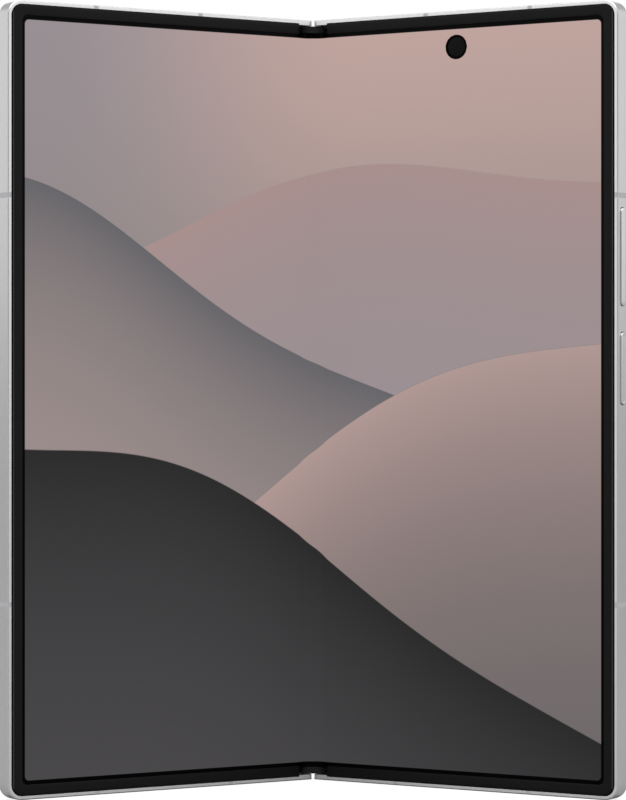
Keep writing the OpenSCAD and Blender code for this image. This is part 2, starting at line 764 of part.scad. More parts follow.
module cover_camera() color([0.05, 0.05, 0.06]) on_left() {
    stud(cover_eye_x, cover_eye_y, cover_eye_r, left_floor - eps, seat_depth);
    stud(cover_eye_x, cover_eye_y, barrel_r, deck_back, left_floor - 0.1);
    stud(cover_eye_x, cover_eye_y, cover_eye_r, left_floor - 0.2, left_floor);
}

module earpiece_speaker() color([0.25, 0.25, 0.27]) on_left() difference() {
    slab(deck_back, left_floor - 0.1) translate([ear_xs[0] - speaker_edge, height - wall_t - 2.6 - snug])
        square([ear_xs[6] - ear_xs[0] + 2 * speaker_edge, 2.6]);
    for (x = ear_xs) rod(x, half_t / 2, ear_r, height - wall_t - 1.6, height);
}

module sim_reader() color([0.7, 0.7, 0.72]) on_left() difference() {
    slab(deck_back, sim_depth + sim_t / 2 + 0.25) translate([sim_x - sim_w / 2 - 1, wall_t + snug])
        square([sim_w + 2, sim_l + 1]);
    box(sim_x - sim_w / 2 - snug, sim_x + sim_w / 2 + snug, -1, sim_l + 0.4,
        sim_depth - sim_t / 2 - snug, sim_depth + sim_t / 2 + snug);
}

module sim_tray() color(silver) on_left() difference() {
    union() {
        slab(sim_depth - sim_t / 2, sim_depth + sim_t / 2) translate([sim_x - sim_w / 2, 0])
            square([sim_w, sim_l]);
        slab(sim_depth - sim_face_t / 2, sim_depth + sim_face_t / 2)
            translate([sim_x - sim_face_w / 2, 0]) square([sim_face_w, sim_face_l - snug]);
    }
    // bed of the card and hole for the eject pin
    box(sim_x - sim_w / 2 + 0.7, sim_x + sim_w / 2 - 0.9, 5.4, sim_l - 1, sim_depth - 0.25, half_t);
    rod(sim_x + sim_w / 2 - 2, sim_depth, 0.4, -1, 3);
}

module magnets(ys) for (y = ys)
    slab(deck_back, deck_back + magnet_t) translate([side_x - snug - magnet_w, y]) square([magnet_w, magnet_l]);

module left_magnets() color([0.5, 0.5, 0.52]) on_left() magnets(left_magnet_ys);

// ---------- right half ----------

module right_battery() color([0.2, 0.2, 0.22]) on_right() {
    battery(deck_back + right_battery_t, right_battery_l);
}

board_y0 = battery_y + right_battery_l + board_gap;
board_depth = deck_back + 0.6;
module main_board() color([0.08, 0.3, 0.18]) on_right() difference() {
    union() {
        slab(board_depth, board_depth + board_t) translate([12, board_y0])
            square([island_x - island_w / 2 - 12, height - board_y0 - wall_t - 1.5]);
        for (p = [[16, board_y0 + 2], [16, board_y0 + 30], [44, board_y0 + 2]])
            slab(deck_back, board_depth + eps) translate(p) square([4, 4]);
    }
    stud(eye_x, eye_y, eye_d / 2 + 1.2, 0, half_t);
}

module can(x, y, w, l) difference() {
    slab(board_depth + board_t, seat_depth - loose) translate([x, y]) square([w, l]);
    slab(board_depth, seat_depth - loose - 0.15) translate([x + 0.2, y + 0.2]) square([w - 0.4, l - 0.4]);
}

module shield_cans() color(steel) on_right() {
    can(15, board_y0 + 3, 16, 18);
    can(33, board_y0 + 3, 14, 18);
    can(15, board_y0 + 24, 13, 14);
}

sub_y = wall_t + 8.2;
module sub_board() color([0.08, 0.3, 0.18]) on_right()
    slab(deck_back, deck_back + board_t) translate([12, sub_y]) square([half_w - 12 - battery_side, 9]);

// USB-C socket: oval shell with its contact tongue
module usb_c_socket() color([0.75, 0.75, 0.77]) on_right() {
    difference() {
        along(0.1, usb_l) slot2d(usb_x, -usb_depth, usb_w, usb_t);
        along(-1, usb_l - 1.2) slot2d(usb_x, -usb_depth, usb_w - 2 * usb_wall, usb_t - 2 * usb_wall);
    }
    box(usb_x - tongue_w / 2, usb_x + tongue_w / 2, tongue_y, usb_l - 1,
        usb_depth - tongue_t / 2, usb_depth + tongue_t / 2);
    box(usb_x - 3.6, usb_x + 3.6, usb_l - eps, sub_y, deck_back, deck_back + 1);
}

module loudspeaker() color([0.15, 0.15, 0.16]) on_right() difference() {
    slab(deck_back, seat_depth - loose) translate([sound_xs[0] - speaker_edge, wall_t + 0.4])
        square([sound_xs[5] - sound_xs[0] + 2 * speaker_edge, 6.2]);
    for (x = sound_xs) rod(x, sound_depth, sound_r, 0, wall_t + 2);
}

// perforated plate behind the loudspeaker's outlet
module speaker_mesh() color([0.3, 0.3, 0.32]) on_right() difference() {
    box(sound_xs[0] - 1.5, sound_xs[5] + 1.5, wall_t + 0.03, wall_t + 0.33, deck_back + 0.1, seat_depth - 0.4);
    for (x = sound_xs, dx = [-0.3, 0, 0.3]) rod(x + dx, sound_depth, 0.1, 0, wall_t + 2);
}

module haptic_motor() color([0.6, 0.6, 0.62]) on_right()
    slab(deck_back, deck_back + 1.9) translate([14, sub_y + 10.5]) difference() {
        square([16, 7]);
        square([1.2, 1.2]);
    }

module inner_camera() color([0.03, 0.03, 0.04]) on_right() {
    stud(eye_x, eye_y, eye_d / 2 - 0.15, display_depth + 0.05, deck_back + 0.3);
    slab(deck_back + 0.05, board_depth + board_t + 0.6) translate([eye_x - 2.3, eye_y - 2.3]) square(4.6);
}

module charging_coil() color([0.72, 0.42, 0.22]) on_right() difference() {
    stud(half_w / 2 + 2, battery_y + right_battery_l / 2, coil_r2, deck_back + right_battery_t, seat_depth);
    stud(half_w / 2 + 2, battery_y + right_battery_l / 2, coil_r1, 0, half_t);
}

module rear_glass() color([0.35, 0.35, 0.36]) on_right() difference() {
    slab(seat_depth, half_t - snug) cover_outline();
    for (y = lens_ys) stud(island_x, y, lens_hole_r, 0, 2 * half_t);
    stud(flash_x, flash_y, flash_r + snug, 0, 2 * half_t);
}

module island_outline(w, l) translate([island_x, island_y]) {
    translate([-w / 2, -(l - w) / 2]) square([w, l - w]);
    for (s = [-1, 1]) translate([0, s * (l - w) / 2]) circle(w / 2);
}

module camera_island() color([0.5, 0.5, 0.52]) on_right() difference() {
    union() {
        slab(half_t - snug, island_back - 0.3) island_outline(island_w, island_l);
        slab(island_back - 0.3 - eps, island_back) island_outline(island_w - 0.6, island_l - 0.6);
    }
    for (y = lens_ys) stud(island_x, y, lens_hole_r, 0, 3 * half_t);
}

module camera_rings() color([0.7, 0.7, 0.72]) on_right() for (y = lens_ys) difference() {
    union() {
        stud(island_x, y, ring_d / 2, island_back, island_back + ring_rise - 0.25);
        stud(island_x, y, ring_d / 2 - 0.25, island_back, island_back + ring_rise);
    }
    stud(island_x, y, lens_r, 0, 3 * half_t);
}

module camera_lenses() color([0.04, 0.04, 0.06]) on_right() for (y = lens_ys)
    stud(island_x, y, lens_r - snug, island_back - 0.1, island_back + ring_rise - 0.15);

module rear_camera_modules() color([0.12, 0.12, 0.13]) on_right() for (y = lens_ys) {
    stud(island_x, y, lens_hole_r - 0.3, seat_depth - 0.3, island_back - 0.15);
    slab(deck_back + 0.1, seat_depth - 0.3 + eps) translate([island_x - 5.4, y - 6]) square([10.8, 12]);
}

module flash_window() color([0.95, 0.9, 0.7]) on_right() {
    stud(flash_x, flash_y, flash_r, seat_depth, half_t - snug);
    stud(flash_x, flash_y, flash_r - 0.6, board_depth + board_t + 0.1, seat_depth + eps);
}

module right_magnets() color([0.5, 0.5, 0.52]) on_right() magnets(right_magnet_ys);

// ---------- keys ----------

module key_slot(mid, l) {
    y = height / 2 + mid;
    translate([half_w - wall_t - 1, 0, 0]) rotate([90, 0, 90]) linear_extrude(wall_t + 2)
        translate([y, -key_depth]) slot_outline(l / 2 + key_gap, key_w / 2 + key_gap);
}

// mouth of a key: its corners are tighter than the key's round ends
module slot_outline(a, b) {
    square([2 * (a - slot_corner_r), 2 * b], center = true);
    square([2 * a, 2 * (b - slot_corner_r)], center = true);
    for (i = [-1, 1], j = [-1, 1])
        translate([i * (a - slot_corner_r), j * (b - slot_corner_r)]) circle(slot_corner_r);
}

module key(mid, l) {
    y = height / 2 + mid;
    // round-ended cap through the wall
    translate([half_w - wall_t, 0, 0]) rotate([90, 0, 90]) linear_extrude(wall_t + key_rise)
        translate([0, -key_depth]) key_outline(y, l);
    // stem down to the switch
    box(half_w - wall_t - key_neck + key_travel, half_w - wall_t + eps, y - stem_w / 2, y + stem_w / 2,
        key_depth - key_w / 2 + 0.2, key_depth + key_w / 2 - 0.2);
}

module key_outline(y, l) {
    translate([y - (l - key_w) / 2, -key_w / 2]) square([l - key_w, key_w]);
    for (s = [-1, 1]) translate([y + s * (l - key_w) / 2, 0]) circle(key_w / 2);
}

module volume_key() color(silver) on_right() key(volume_mid, volume_l);

module power_key() color(silver) on_right() key(power_mid, power_l);

// strip with the dome switches behind the keys
module key_switch_flex() color([0.7, 0.45, 0.2]) on_right() {
    x0 = half_w - wall_t - key_neck - flex_t - 0.1;
    box(x0, x0 + flex_t, height / 2 + power_mid - power_l / 2, height / 2 + volume_mid + volume_l / 2,
        deck_back, half_t - glass_t - 0.8);
    for (m = [volume_mid, power_mid]) translate([x0 + flex_t - eps, height / 2 + m, -key_depth])
        rotate([0, 90, 0]) cylinder(r = dome_r, h = dome_rise + eps);
}

hinge_housing();
hinge_end_cap_top();
hinge_end_cap_bottom();
hinge_bracket_top();
hinge_bracket_bottom();
hinge_screws();
torque_clips();
hinge_flex_cable();
display_fold();
left_gear_arm_top();
left_gear_arm_bottom();
right_gear_arm_top();
right_gear_arm_bottom();
left_idler_gears();
right_idler_gears();
left_frame();
left_antenna_bands();
left_bezel();
display_left();
left_support_plate();
left_rotator_top();
left_rotator_bottom();
left_rotator_screws();
left_battery();
left_board();
cover_display_panel();
cover_glass();
cover_camera();
earpiece_speaker();
sim_reader();
sim_tray();
left_magnets();
right_frame();
right_antenna_bands();
right_bezel();
display_right();
right_support_plate();
right_rotator_top();
right_rotator_bottom();
right_rotator_screws();
right_battery();
main_board();
shield_cans();
sub_board();
usb_c_socket();
loudspeaker();
speaker_mesh();
haptic_motor();
inner_camera();
charging_coil();
rear_glass();
camera_island();
camera_rings();
camera_lenses();
rear_camera_modules();
flash_window();
key_switch_flex();
right_magnets();
volume_key();
power_key();
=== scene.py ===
import json
import math

import bpy
import numpy as np
from mathutils.geometry import delaunay_2d_cdt
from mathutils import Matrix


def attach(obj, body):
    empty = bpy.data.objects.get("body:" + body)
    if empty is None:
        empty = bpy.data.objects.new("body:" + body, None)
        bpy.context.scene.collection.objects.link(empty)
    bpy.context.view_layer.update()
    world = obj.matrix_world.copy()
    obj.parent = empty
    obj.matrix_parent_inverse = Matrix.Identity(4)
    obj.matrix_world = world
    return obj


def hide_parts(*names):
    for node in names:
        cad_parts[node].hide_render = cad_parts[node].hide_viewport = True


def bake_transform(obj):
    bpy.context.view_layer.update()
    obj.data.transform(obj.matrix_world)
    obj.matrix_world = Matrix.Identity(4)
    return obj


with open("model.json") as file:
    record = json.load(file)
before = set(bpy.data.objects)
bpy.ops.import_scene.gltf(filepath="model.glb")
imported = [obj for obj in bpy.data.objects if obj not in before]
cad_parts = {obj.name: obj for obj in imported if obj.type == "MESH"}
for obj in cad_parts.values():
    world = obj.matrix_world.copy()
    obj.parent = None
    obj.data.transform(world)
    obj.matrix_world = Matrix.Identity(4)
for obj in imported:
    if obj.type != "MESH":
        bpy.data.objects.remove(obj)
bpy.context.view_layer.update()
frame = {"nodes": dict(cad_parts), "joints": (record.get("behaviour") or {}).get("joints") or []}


# ---- Half frames ----
# Each half is a milled aluminium ring with a deck, bead blasted and anodised in a satin silver.
# Plastic antenna bands are moulded into cuts through the ring and then machined flush with it.

mm = 0.001


def linear(red, green, blue):
    """Shader colour of a display colour given in steps of 0 to 255: the display curve is taken off each
    channel."""
    channels = (((c / 255 + 0.055) / 1.055) ** 2.4 if c > 10 else c / 3294 for c in (red, green, blue))
    return (*channels, 1.0)


def add(tree, kind, inputs=None, **settings):
    """New shader node: settings are its properties, and inputs holds numbers, colours or the sockets that
    feed it."""
    made = tree.nodes.new(kind)
    for key, value in settings.items():
        setattr(made, key, value)
    for key, value in (inputs or {}).items():
        if isinstance(value, bpy.types.NodeSocket):
            tree.links.new(value, made.inputs[key])
        else:
            made.inputs[key].default_value = value
    return made


def calc(tree, operation, *values):
    """Output of one math node: the operation on up to three numbers or sockets."""
    return add(tree, "ShaderNodeMath", dict(enumerate(values)), operation=operation).outputs[0]


def span(tree, value, low, high, to_low=0.0, to_high=1.0, interpolation="LINEAR"):
    """Output of a map range node, held at both ends: `low` to `high` becomes `to_low` to `to_high`."""
    ends = {"Value": value, "From Min": low, "From Max": high, "To Min": to_low, "To Max": to_high}
    return add(tree, "ShaderNodeMapRange", ends, interpolation_type=interpolation).outputs[0]


def mixed(tree, share, low, high):
    """Colour of a mix node: `low` where the share is 0 and `high` where it is 1."""
    return add(tree, "ShaderNodeMix", {"Factor": share, 6: low, 7: high}, data_type="RGBA").outputs[2]


def new_group(name, inputs, outputs):
    """Empty shader node group; inputs are (label, kind, value) and outputs are (label, kind)."""
    tree = bpy.data.node_groups.new(name, "ShaderNodeTree")
    for label, kind, value in inputs:
        socket = tree.interface.new_socket(label, in_out="INPUT", socket_type="NodeSocket" + kind)
        socket.default_value = value
    for label, kind in outputs:
        tree.interface.new_socket(label, in_out="OUTPUT", socket_type="NodeSocket" + kind)
    return tree, tree.nodes.new("NodeGroupInput").outputs, tree.nodes.new("NodeGroupOutput").inputs


def make_surface_group():
    """Fine relief of a made surface: a small noise gives the grain's height and moves the roughness, a
    broad one shifts the tone, edges turn over a small radius, and painted shade darkens narrow recesses.
    Stretch draws out the grain."""
    tree, put, out = new_group("made_surface", [
        ("Colour", "Color", (0.8, 0.8, 0.8, 1)), ("Variation", "Float", 0.03), ("Roughness", "Float", 0.4),
        ("Spread", "Float", 0.05), ("Grain mm", "Float", 0.1), ("Depth mm", "Float", 0.001),
        ("Edge mm", "Float", 0.05), ("Stretch", "Vector", (1, 1, 1)), ("Recess mm", "Float", 0.8),
        ("Recess shade", "Float", 0.45)],
        [("Colour", "Color"), ("Roughness", "Float"), ("Normal", "Vector")])
    place = add(tree, "ShaderNodeTexCoord").outputs["Object"]
    drawn = add(tree, "ShaderNodeVectorMath", {0: place, 1: put["Stretch"]}, operation="MULTIPLY").outputs[0]
    grains = {"Vector": drawn, "Scale": calc(tree, "DIVIDE", 1 / mm, put["Grain mm"]), "Detail": 2.0}
    fine = add(tree, "ShaderNodeTexNoise", grains).outputs["Fac"]
    broad = add(tree, "ShaderNodeTexNoise", {"Vector": place, "Scale": 60.0, "Detail": 3.0}).outputs["Fac"]

    def spread_round(value, middle, width):
        low, high = calc(tree, "SUBTRACT", middle, width), calc(tree, "ADD", middle, width)
        return span(tree, value, 0.3, 0.7, low, high)

    both = calc(tree, "ADD", calc(tree, "MULTIPLY", broad, 0.6), calc(tree, "MULTIPLY", fine, 0.4))
    tone = spread_round(both, 1.0, put["Variation"])
    recess, edge, depth = (calc(tree, "MULTIPLY", put[label + " mm"], mm)
                           for label in ("Recess", "Edge", "Depth"))
    # painted shade: ambient occlusion darkens the colour in narrow recesses, gaps and slots, where shade
    # falls
    occlusion = add(tree, "ShaderNodeAmbientOcclusion", {"Distance": recess}, samples=4)
    painted_recess_shade = span(tree, occlusion.outputs["AO"], 0.15, 0.75, calc(tree, "SUBTRACT", 1.0, put["Recess shade"]))
    shaded = add(tree, "ShaderNodeVectorMath",
                 {0: put["Colour"], "Scale": calc(tree, "MULTIPLY", tone, painted_recess_shade)},
                 operation="SCALE").outputs[0]
    turned_edge = add(tree, "ShaderNodeBevel", {"Radius": edge}, samples=4).outputs[0]
    relief = add(tree, "ShaderNodeBump", {"Height": fine, "Distance": depth, "Normal": turned_edge})
    tree.links.new(shaded, out["Colour"])
    tree.links.new(spread_round(fine, put["Roughness"], put["Spread"]), out["Roughness"])
    tree.links.new(relief.outputs[0], out["Normal"])
    return tree


made_surface = make_surface_group()


def finish(name, colour, roughness, sockets=None, **surface):
    """Material with the shared surface: `surface` sets the group's inputs and `sockets` the shader's own."""
    material = bpy.data.materials.new(name)
    material.use_nodes = True
    tree = material.node_tree
    shader = tree.nodes["Principled BSDF"]
    group = add(tree, "ShaderNodeGroup", node_tree=made_surface)
    group.inputs["Colour"].default_value = colour
    group.inputs["Roughness"].default_value = roughness
    for key, value in surface.items():
        group.inputs[key.capitalize().replace("_", " ")].default_value = value
    for key, value in (sockets or {}).items():
        shader.inputs[key].default_value = value
    for source, target in (("Colour", "Base Color"), ("Roughness", "Roughness"), ("Normal", "Normal")):
        tree.links.new(group.outputs[source], shader.inputs[target])
    return material


def coat(material, *names):
    """Gives CAD nodes a material; their meshes stay as they are."""
    for name in names:
        frame["nodes"][name].data.materials.clear()
        frame["nodes"][name].data.materials.append(material)


satin_aluminium = finish("satin_aluminium", linear(230, 230, 231), 0.36, {"Metallic": 1.0}, variation=0.012,
                         spread=0.04, grain_mm=0.09, depth_mm=0.0012, edge_mm=0.07)
band_plastic = finish("band_plastic", linear(202, 203, 205), 0.5, {"Specular IOR Level": 0.4},
                      variation=0.015, grain_mm=0.15, depth_mm=0.0015, edge_mm=0.05)
coat(satin_aluminium, "left_frame", "right_frame")
coat(band_plastic, "left_antenna_bands", "right_antenna_bands")


# ---- Bezels ----
# Round each half of the screen runs a moulded strip of dark elastomer, bonded in the rim's recess.
# Its crown stands just over the rim, and its lip holds the display's edge down.

half_w, height, axis_depth = 71.6, 158.4, 0.975
rim_w, corner_r, wall_t = 0.75, 3.1, 1.6
fold = next(joint for joint in frame["joints"] if joint["name"] == "right_fold")
rest_turn = -math.radians(fold["range_deg"][0])
axis_x, axis_y = fold["pos_m"][0] / mm, fold["pos_m"][1] / mm
SIDES = {"left": -1, "right": 1}


def placed(side, flat, turn=None):
    """Row-frame points in metres of a half's flat points (x out from the fold, y up, depth behind the rim):
    each turns with the half about its hinge axis, by the rest angle unless `turn` gives one for each
    point."""
    turn = rest_turn if turn is None else turn
    out, back = flat[..., 0] - axis_x, flat[..., 2] - axis_depth
    across = axis_x + out * np.cos(turn) + back * np.sin(turn)
    away = axis_y - out * np.sin(turn) + back * np.cos(turn)
    return np.stack([side * across, away, flat[..., 1]], -1) * mm


def piece(name, points, faces, material, crisp=40):
    """Mesh object of closed faces, turned outwards if its enclosed volume comes out negative, with a smooth
    shading that breaks at edges sharper than `crisp` degrees."""
    mesh = bpy.data.meshes.new(name)
    mesh.from_pydata(points.reshape(-1, 3), [], faces)
    mesh.calc_loop_triangles()
    corners = np.empty(3 * len(mesh.loop_triangles), np.int32)
    mesh.loop_triangles.foreach_get("vertices", corners)
    a, b, c = np.moveaxis(points.reshape(-1, 3)[corners.reshape(-1, 3)], 1, 0)
    if np.einsum("ij,ij", a, np.cross(b, c)) < 0:
        mesh.flip_normals()
    mesh.shade_smooth()
    mesh.set_sharp_from_angle(angle=math.radians(crisp))
    mesh.materials.append(material)
    made = bpy.data.objects.new(name, mesh)
    bpy.context.scene.collection.objects.link(made)
    return made


def loft(loops, ring=False):
    """Points and faces of a tube through closed loops, an array of (loops, points, 3). A ring joins the
    last loop to the first; otherwise a fan to the middle of each end loop closes the tube."""
    rows, columns = loops.shape[:2]
    row = np.arange(rows if ring else rows - 1)[:, None]
    column = np.arange(columns)[None, :]
    here, there = row * columns, (row + 1) % rows * columns
    after = (column + 1) % columns
    quads = np.stack([here + column, there + column, there + after, here + after], -1).reshape(-1, 4).tolist()
    points = loops.reshape(-1, 3)
    if ring:
        return points, quads
    around = np.arange(columns)
    last = (rows - 1) * columns
    start = np.stack([np.roll(around, -1), around, np.full(columns, rows * columns)], -1)
    end = np.stack([last + around, last + np.roll(around, -1), np.full(columns, rows * columns + 1)], -1)
    return (np.concatenate([points, loops[[0, -1]].mean(1)]),
            quads + start.tolist() + end.tolist())


bezel_start, bezel_foot = 3.85, rim_w + 0.06
bezel_outer, bezel_inner, bezel_narrower = 1.06, 3.18, 0.22
bezel_outer_r, bezel_inner_r = corner_r - bezel_foot, 1.2
bezel_crown, lip_depth, groove_depth, seat_depth = 0.1, 0.2, 0.42, 0.96
outer_roll, outer_rise, inner_roll, inner_rise = 0.22, 0.16, 0.12, 0.1
crown_arch, crown_middle, end_sink = 0.14, 0.45, 0.2
display_inset = 2.8


def smooth_step(value):
    """0 below 0, 1 above 1, and value squared times (3 - 2 value) between."""
    value = np.clip(value, 0, 1)
    return value * value * (3 - 2 * value)


def bezel_section():
    """Closed section as (inset, depth): the foot's outer wall and ledge, a quarter turn up to the crown,
    which is a shallow arch, a tighter quarter turn down to the lip, and the stepped underside."""
    turn = np.linspace(0, math.pi / 2, 7)
    width = bezel_inner - bezel_outer
    ledge = [(bezel_foot, groove_depth), (bezel_outer, groove_depth), (bezel_outer, 0.2)]
    outer = np.stack([bezel_outer + outer_roll * (1 - np.cos(turn)), 0.1 - outer_rise * np.sin(turn)], -1)
    across = np.linspace(0.16, 0.9, 9)
    crown = np.stack([bezel_outer + width * across,
                      -bezel_crown + crown_arch * (across - crown_middle) ** 2], -1)
    inner = np.stack([bezel_inner - inner_roll * (1 - np.sin(turn)), 0.04 - inner_rise * np.cos(turn)], -1)
    under = [(bezel_inner, lip_depth), (display_inset - 0.05, lip_depth), (display_inset - 0.05, seat_depth),
             (bezel_foot, seat_depth)]
    return np.concatenate([ledge, outer, crown, inner[1:], under])


def bezel_loops():
    """The section carried along the bottom, the outer side and the top: at each station it lies on rounded
    outlines whose radius runs from the outer to the inner corner's. The strip is narrower along the bottom
    and top, and it sinks a little at its two ends."""
    inset, depth = bezel_section().T
    share = np.clip((inset - bezel_outer) / (bezel_inner - bezel_outer), 0, 1)
    radius = bezel_outer_r + (bezel_inner_r - bezel_outer_r) * share
    inset_end = np.where(inset > bezel_foot, np.maximum(inset - bezel_narrower, bezel_foot), inset)
    inset_end = np.where(depth < lip_depth + 0.3, inset_end, inset)
    arc = np.linspace(-math.pi / 2, 0, 13)
    run_in = np.array([0, 0.02, 0.06, 0.13, 0.24])
    sunk = end_sink * (1 - np.sqrt(1 - (1 - run_in / run_in[-1]) ** 2))
    middle_x, low = half_w - inset - radius, inset_end + radius
    start = [np.stack([np.full_like(inset, bezel_start + x), inset_end, np.minimum(depth + s, seat_depth)],
                      -1) for x, s in zip(run_in, sunk)]
    corner = [np.stack([middle_x + radius * np.cos(a), low + radius * np.sin(a), depth], -1) for a in arc]
    half = np.array(start + corner)
    other = half[::-1] * (1, -1, 1) + (0, height, 0)
    return np.concatenate([half, other])


bezel_rubber = finish("bezel_rubber", linear(17, 17, 18), 0.46, {"Specular IOR Level": 0.14}, variation=0.05,
                      spread=0.05, grain_mm=0.12, depth_mm=0.0016, edge_mm=0.02)
tree = bezel_rubber.node_tree
# painted highlight: a lighter grey band along the crown's outer roll stands in for the light that the roll
# catches
painted_highlight_line = add(tree, "ShaderNodeAttribute", attribute_name="painted_highlight_line").outputs["Fac"]
painted_highlight = mixed(tree, painted_highlight_line, tree.nodes["Group"].outputs["Colour"], linear(76, 76, 78))
tree.links.new(painted_highlight, tree.nodes["Principled BSDF"].inputs["Base Color"])
line_inset, line_w, line_floor = 0.13, 0.14, 0.06
for label, side in SIDES.items():
    points, faces = loft(bezel_loops())
    bezel = piece(label + "_bezel_strip", placed(side, points), faces, bezel_rubber, crisp=50)
    inset = half_w - points[:, 0]
    # points of the painted highlight: on the outer roll, near the crown
    on_roll = smooth_step(1 - np.abs(inset - bezel_outer - line_inset) / line_w) * (points[:, 2] < line_floor)
    bezel.data.attributes.new("painted_highlight_line", "FLOAT", "POINT").data.foreach_set("value",
                                                                              on_roll.astype(np.float32))
    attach(bezel, label + "_half")
    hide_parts(label + "_bezel")


# ---- Folding screen ----
# One flexible panel under a clear hard-coated film crosses both halves. Rigid plates back it out to the
# hinge, and the stretch between them bends: here it lies in a soft valley, shaped for the rest pose only.

screen_depth, screen_t, screen_corner_r = 0.25, 0.45, 1.5
bend_end = 4.0
eye_x, eye_y, eye_r = 34.7, height - 7.4, 2.525
lit_side, lit_end, lit_corner_r, lit_blur = 3.865, 3.78, 0.9, 0.06


def bent(flat):
    """Turn at rest of each flat point of the panel: the share of the half's turn that the hinge's blend
    gives to the place where the point ends up, found by repeating the placing until both agree."""
    rim = np.array([[bend_end, 0, screen_depth]])
    reach = placed(1, rim)[0, 0]
    share = smooth_step(flat[..., 0] / bend_end)
    for _ in range(60):
        share = 0.5 * share + 0.5 * smooth_step(placed(1, flat, rest_turn * share)[..., 0] / reach)
    return rest_turn * share


def plate(outline, holes=()):
    """Points and triangles of a flat plate: the area inside the outline, less the round holes, each given as
    (x, y, radius, points)."""
    rings = [np.asarray(outline)]
    for x, y, radius, count in holes:
        angle = np.arange(count) * math.tau / count
        rings.append(np.stack([x + radius * np.cos(angle), y + radius * np.sin(angle)], -1))
    starts = np.cumsum([0] + [len(ring) for ring in rings])
    edges = [(s + i, s + (i + 1) % len(ring)) for s, ring in zip(starts, rings) for i in range(len(ring))]
    points, _, faces, *_ = delaunay_2d_cdt(np.concatenate(rings).tolist(), edges,
                                           [list(range(len(rings[0])))], 1, 1e-7)
    points, faces = np.array([tuple(p) for p in points]), np.array(faces)
    middle = points[faces].mean(1)
    for x, y, radius, _ in holes:
        away = np.hypot(middle[:, 0] - x, middle[:, 1] - y) > radius * 0.98
        faces, middle = faces[away], middle[away]
    return points, faces


def thick(flat, faces, near, far):
    """Closed body of flat faces between two depths: the near faces, the far faces turned over, and a wall
    along every edge that only one face has."""
    count = len(flat)
    directed = [(face[i], face[(i + 1) % len(face)]) for face in faces for i in range(len(face))]
    there = set(directed)
    walls = [(a, a + count, b + count, b) for a, b in directed if (b, a) not in there]
    both = np.concatenate([np.column_stack([flat, np.full(count, depth)]) for depth in (near, far)])
    return both, [tuple(f) for f in faces] + [tuple(c + count for c in reversed(tuple(f)))
                                              for f in faces] + walls


def screen_faces(hole):
    """Flat panel of one half: narrow strips of full height across the bend, then one plate with two round
    corners out to the edge, with the camera's hole where this half has it."""
    low, high, outer = display_inset, height - display_inset, half_w - display_inset
    strips = np.linspace(0, bend_end + 0.4, 45)
    strip_points = np.array([(x, y) for x in strips for y in (low, high)])
    strip_faces = [(2 * i, 2 * i + 2, 2 * i + 3, 2 * i + 1) for i in range(len(strips) - 1)]
    arc = np.linspace(-math.pi / 2, 0, 9)
    corner = np.stack([outer - screen_corner_r + screen_corner_r * np.cos(arc),
                       low + screen_corner_r + screen_corner_r * np.sin(arc)], -1)
    top = corner[::-1] * (1, -1) + (0, height)
    outline = np.concatenate([[(strips[-1], low)], corner, top, [(strips[-1], high)]])
    points, faces = plate(outline, [(eye_x, eye_y, eye_r, 144)] if hole else [])
    # the plate's first and last outline points are the last strip's two
    offset = len(strip_points)
    gap = np.linalg.norm(points[:, None] - strip_points[None, -2:], axis=-1)
    seam = np.where(gap.min(1) < 1e-4, offset - 2 + gap.argmin(1), offset + np.arange(len(points)))
    corners = np.concatenate([np.ravel(strip_faces), seam[faces].ravel()])
    used, corners = np.unique(corners, return_inverse=True)
    strip_corners = 4 * len(strip_faces)
    quads = corners[:strip_corners].reshape(-1, 4).tolist()
    triangles = corners[strip_corners:].reshape(-1, 3).tolist()
    return np.concatenate([strip_points, points])[used], [tuple(face) for face in quads + triangles]


def make_wave_group():
    """One swell of the picture. Its crest is a straight line plus two sines across the width; the mask is 1
    just under the crest, ends there in a crisp edge, and fades below it over a length."""
    tree, put, out = new_group("screen_swell", [
        ("Across", "Float", 0.0), ("Up", "Float", 0.0), ("Crest", "Float", 0.0), ("Slope", "Float", 0.0),
        ("Rise", "Float", 0.0), ("Length", "Float", 100.0), ("Shift", "Float", 0.0), ("Fade", "Float", 30.0)],
        [("Mask", "Float"), ("Inside", "Float")])
    waves = calc(tree, "DIVIDE", calc(tree, "ADD", put["Across"], put["Shift"]), put["Length"])
    turn = calc(tree, "MULTIPLY", waves, math.tau)
    wave = calc(tree, "ADD", calc(tree, "SINE", turn),
                calc(tree, "MULTIPLY", calc(tree, "SINE", calc(tree, "MULTIPLY", turn, 1.7)), 0.35))
    crest = calc(tree, "ADD", calc(tree, "MULTIPLY_ADD", put["Across"], put["Slope"], put["Crest"]),
                 calc(tree, "MULTIPLY", wave, put["Rise"]))
    below = calc(tree, "SUBTRACT", crest, put["Up"])
    crest_blur = 0.12
    inside = span(tree, below, -crest_blur, crest_blur)
    fades = calc(tree, "DIVIDE", calc(tree, "MAXIMUM", below, 0.0), put["Fade"])
    fade = calc(tree, "EXPONENT", calc(tree, "MULTIPLY", fades, -1.0))
    tree.links.new(calc(tree, "MULTIPLY", inside, fade), out["Mask"])
    tree.links.new(inside, out["Inside"])
    return tree


PINK, MAUVE, TAUPE = linear(192, 164, 158), linear(152, 143, 148), linear(141, 133, 131)
SLATE, CHARCOAL = linear(102, 101, 105), linear(42, 42, 43)
# swells from the far one to the near one: crest height and slope, rise, length and shift of the wave, fade,
# and the colours under the crest and far below it
SWELLS = [
    (118, 0.10, 7, 190, 30, 26, linear(168, 143, 141), MAUVE),
    (92, -0.30, 9, 160, 96, 34, SLATE, linear(164, 148, 146)),
    (64, 0.34, 8, 210, 12, 40, linear(176, 152, 148), linear(96, 95, 97)),
    (44, -0.42, 7, 175, 60, 60, CHARCOAL, linear(84, 82, 84)),
]


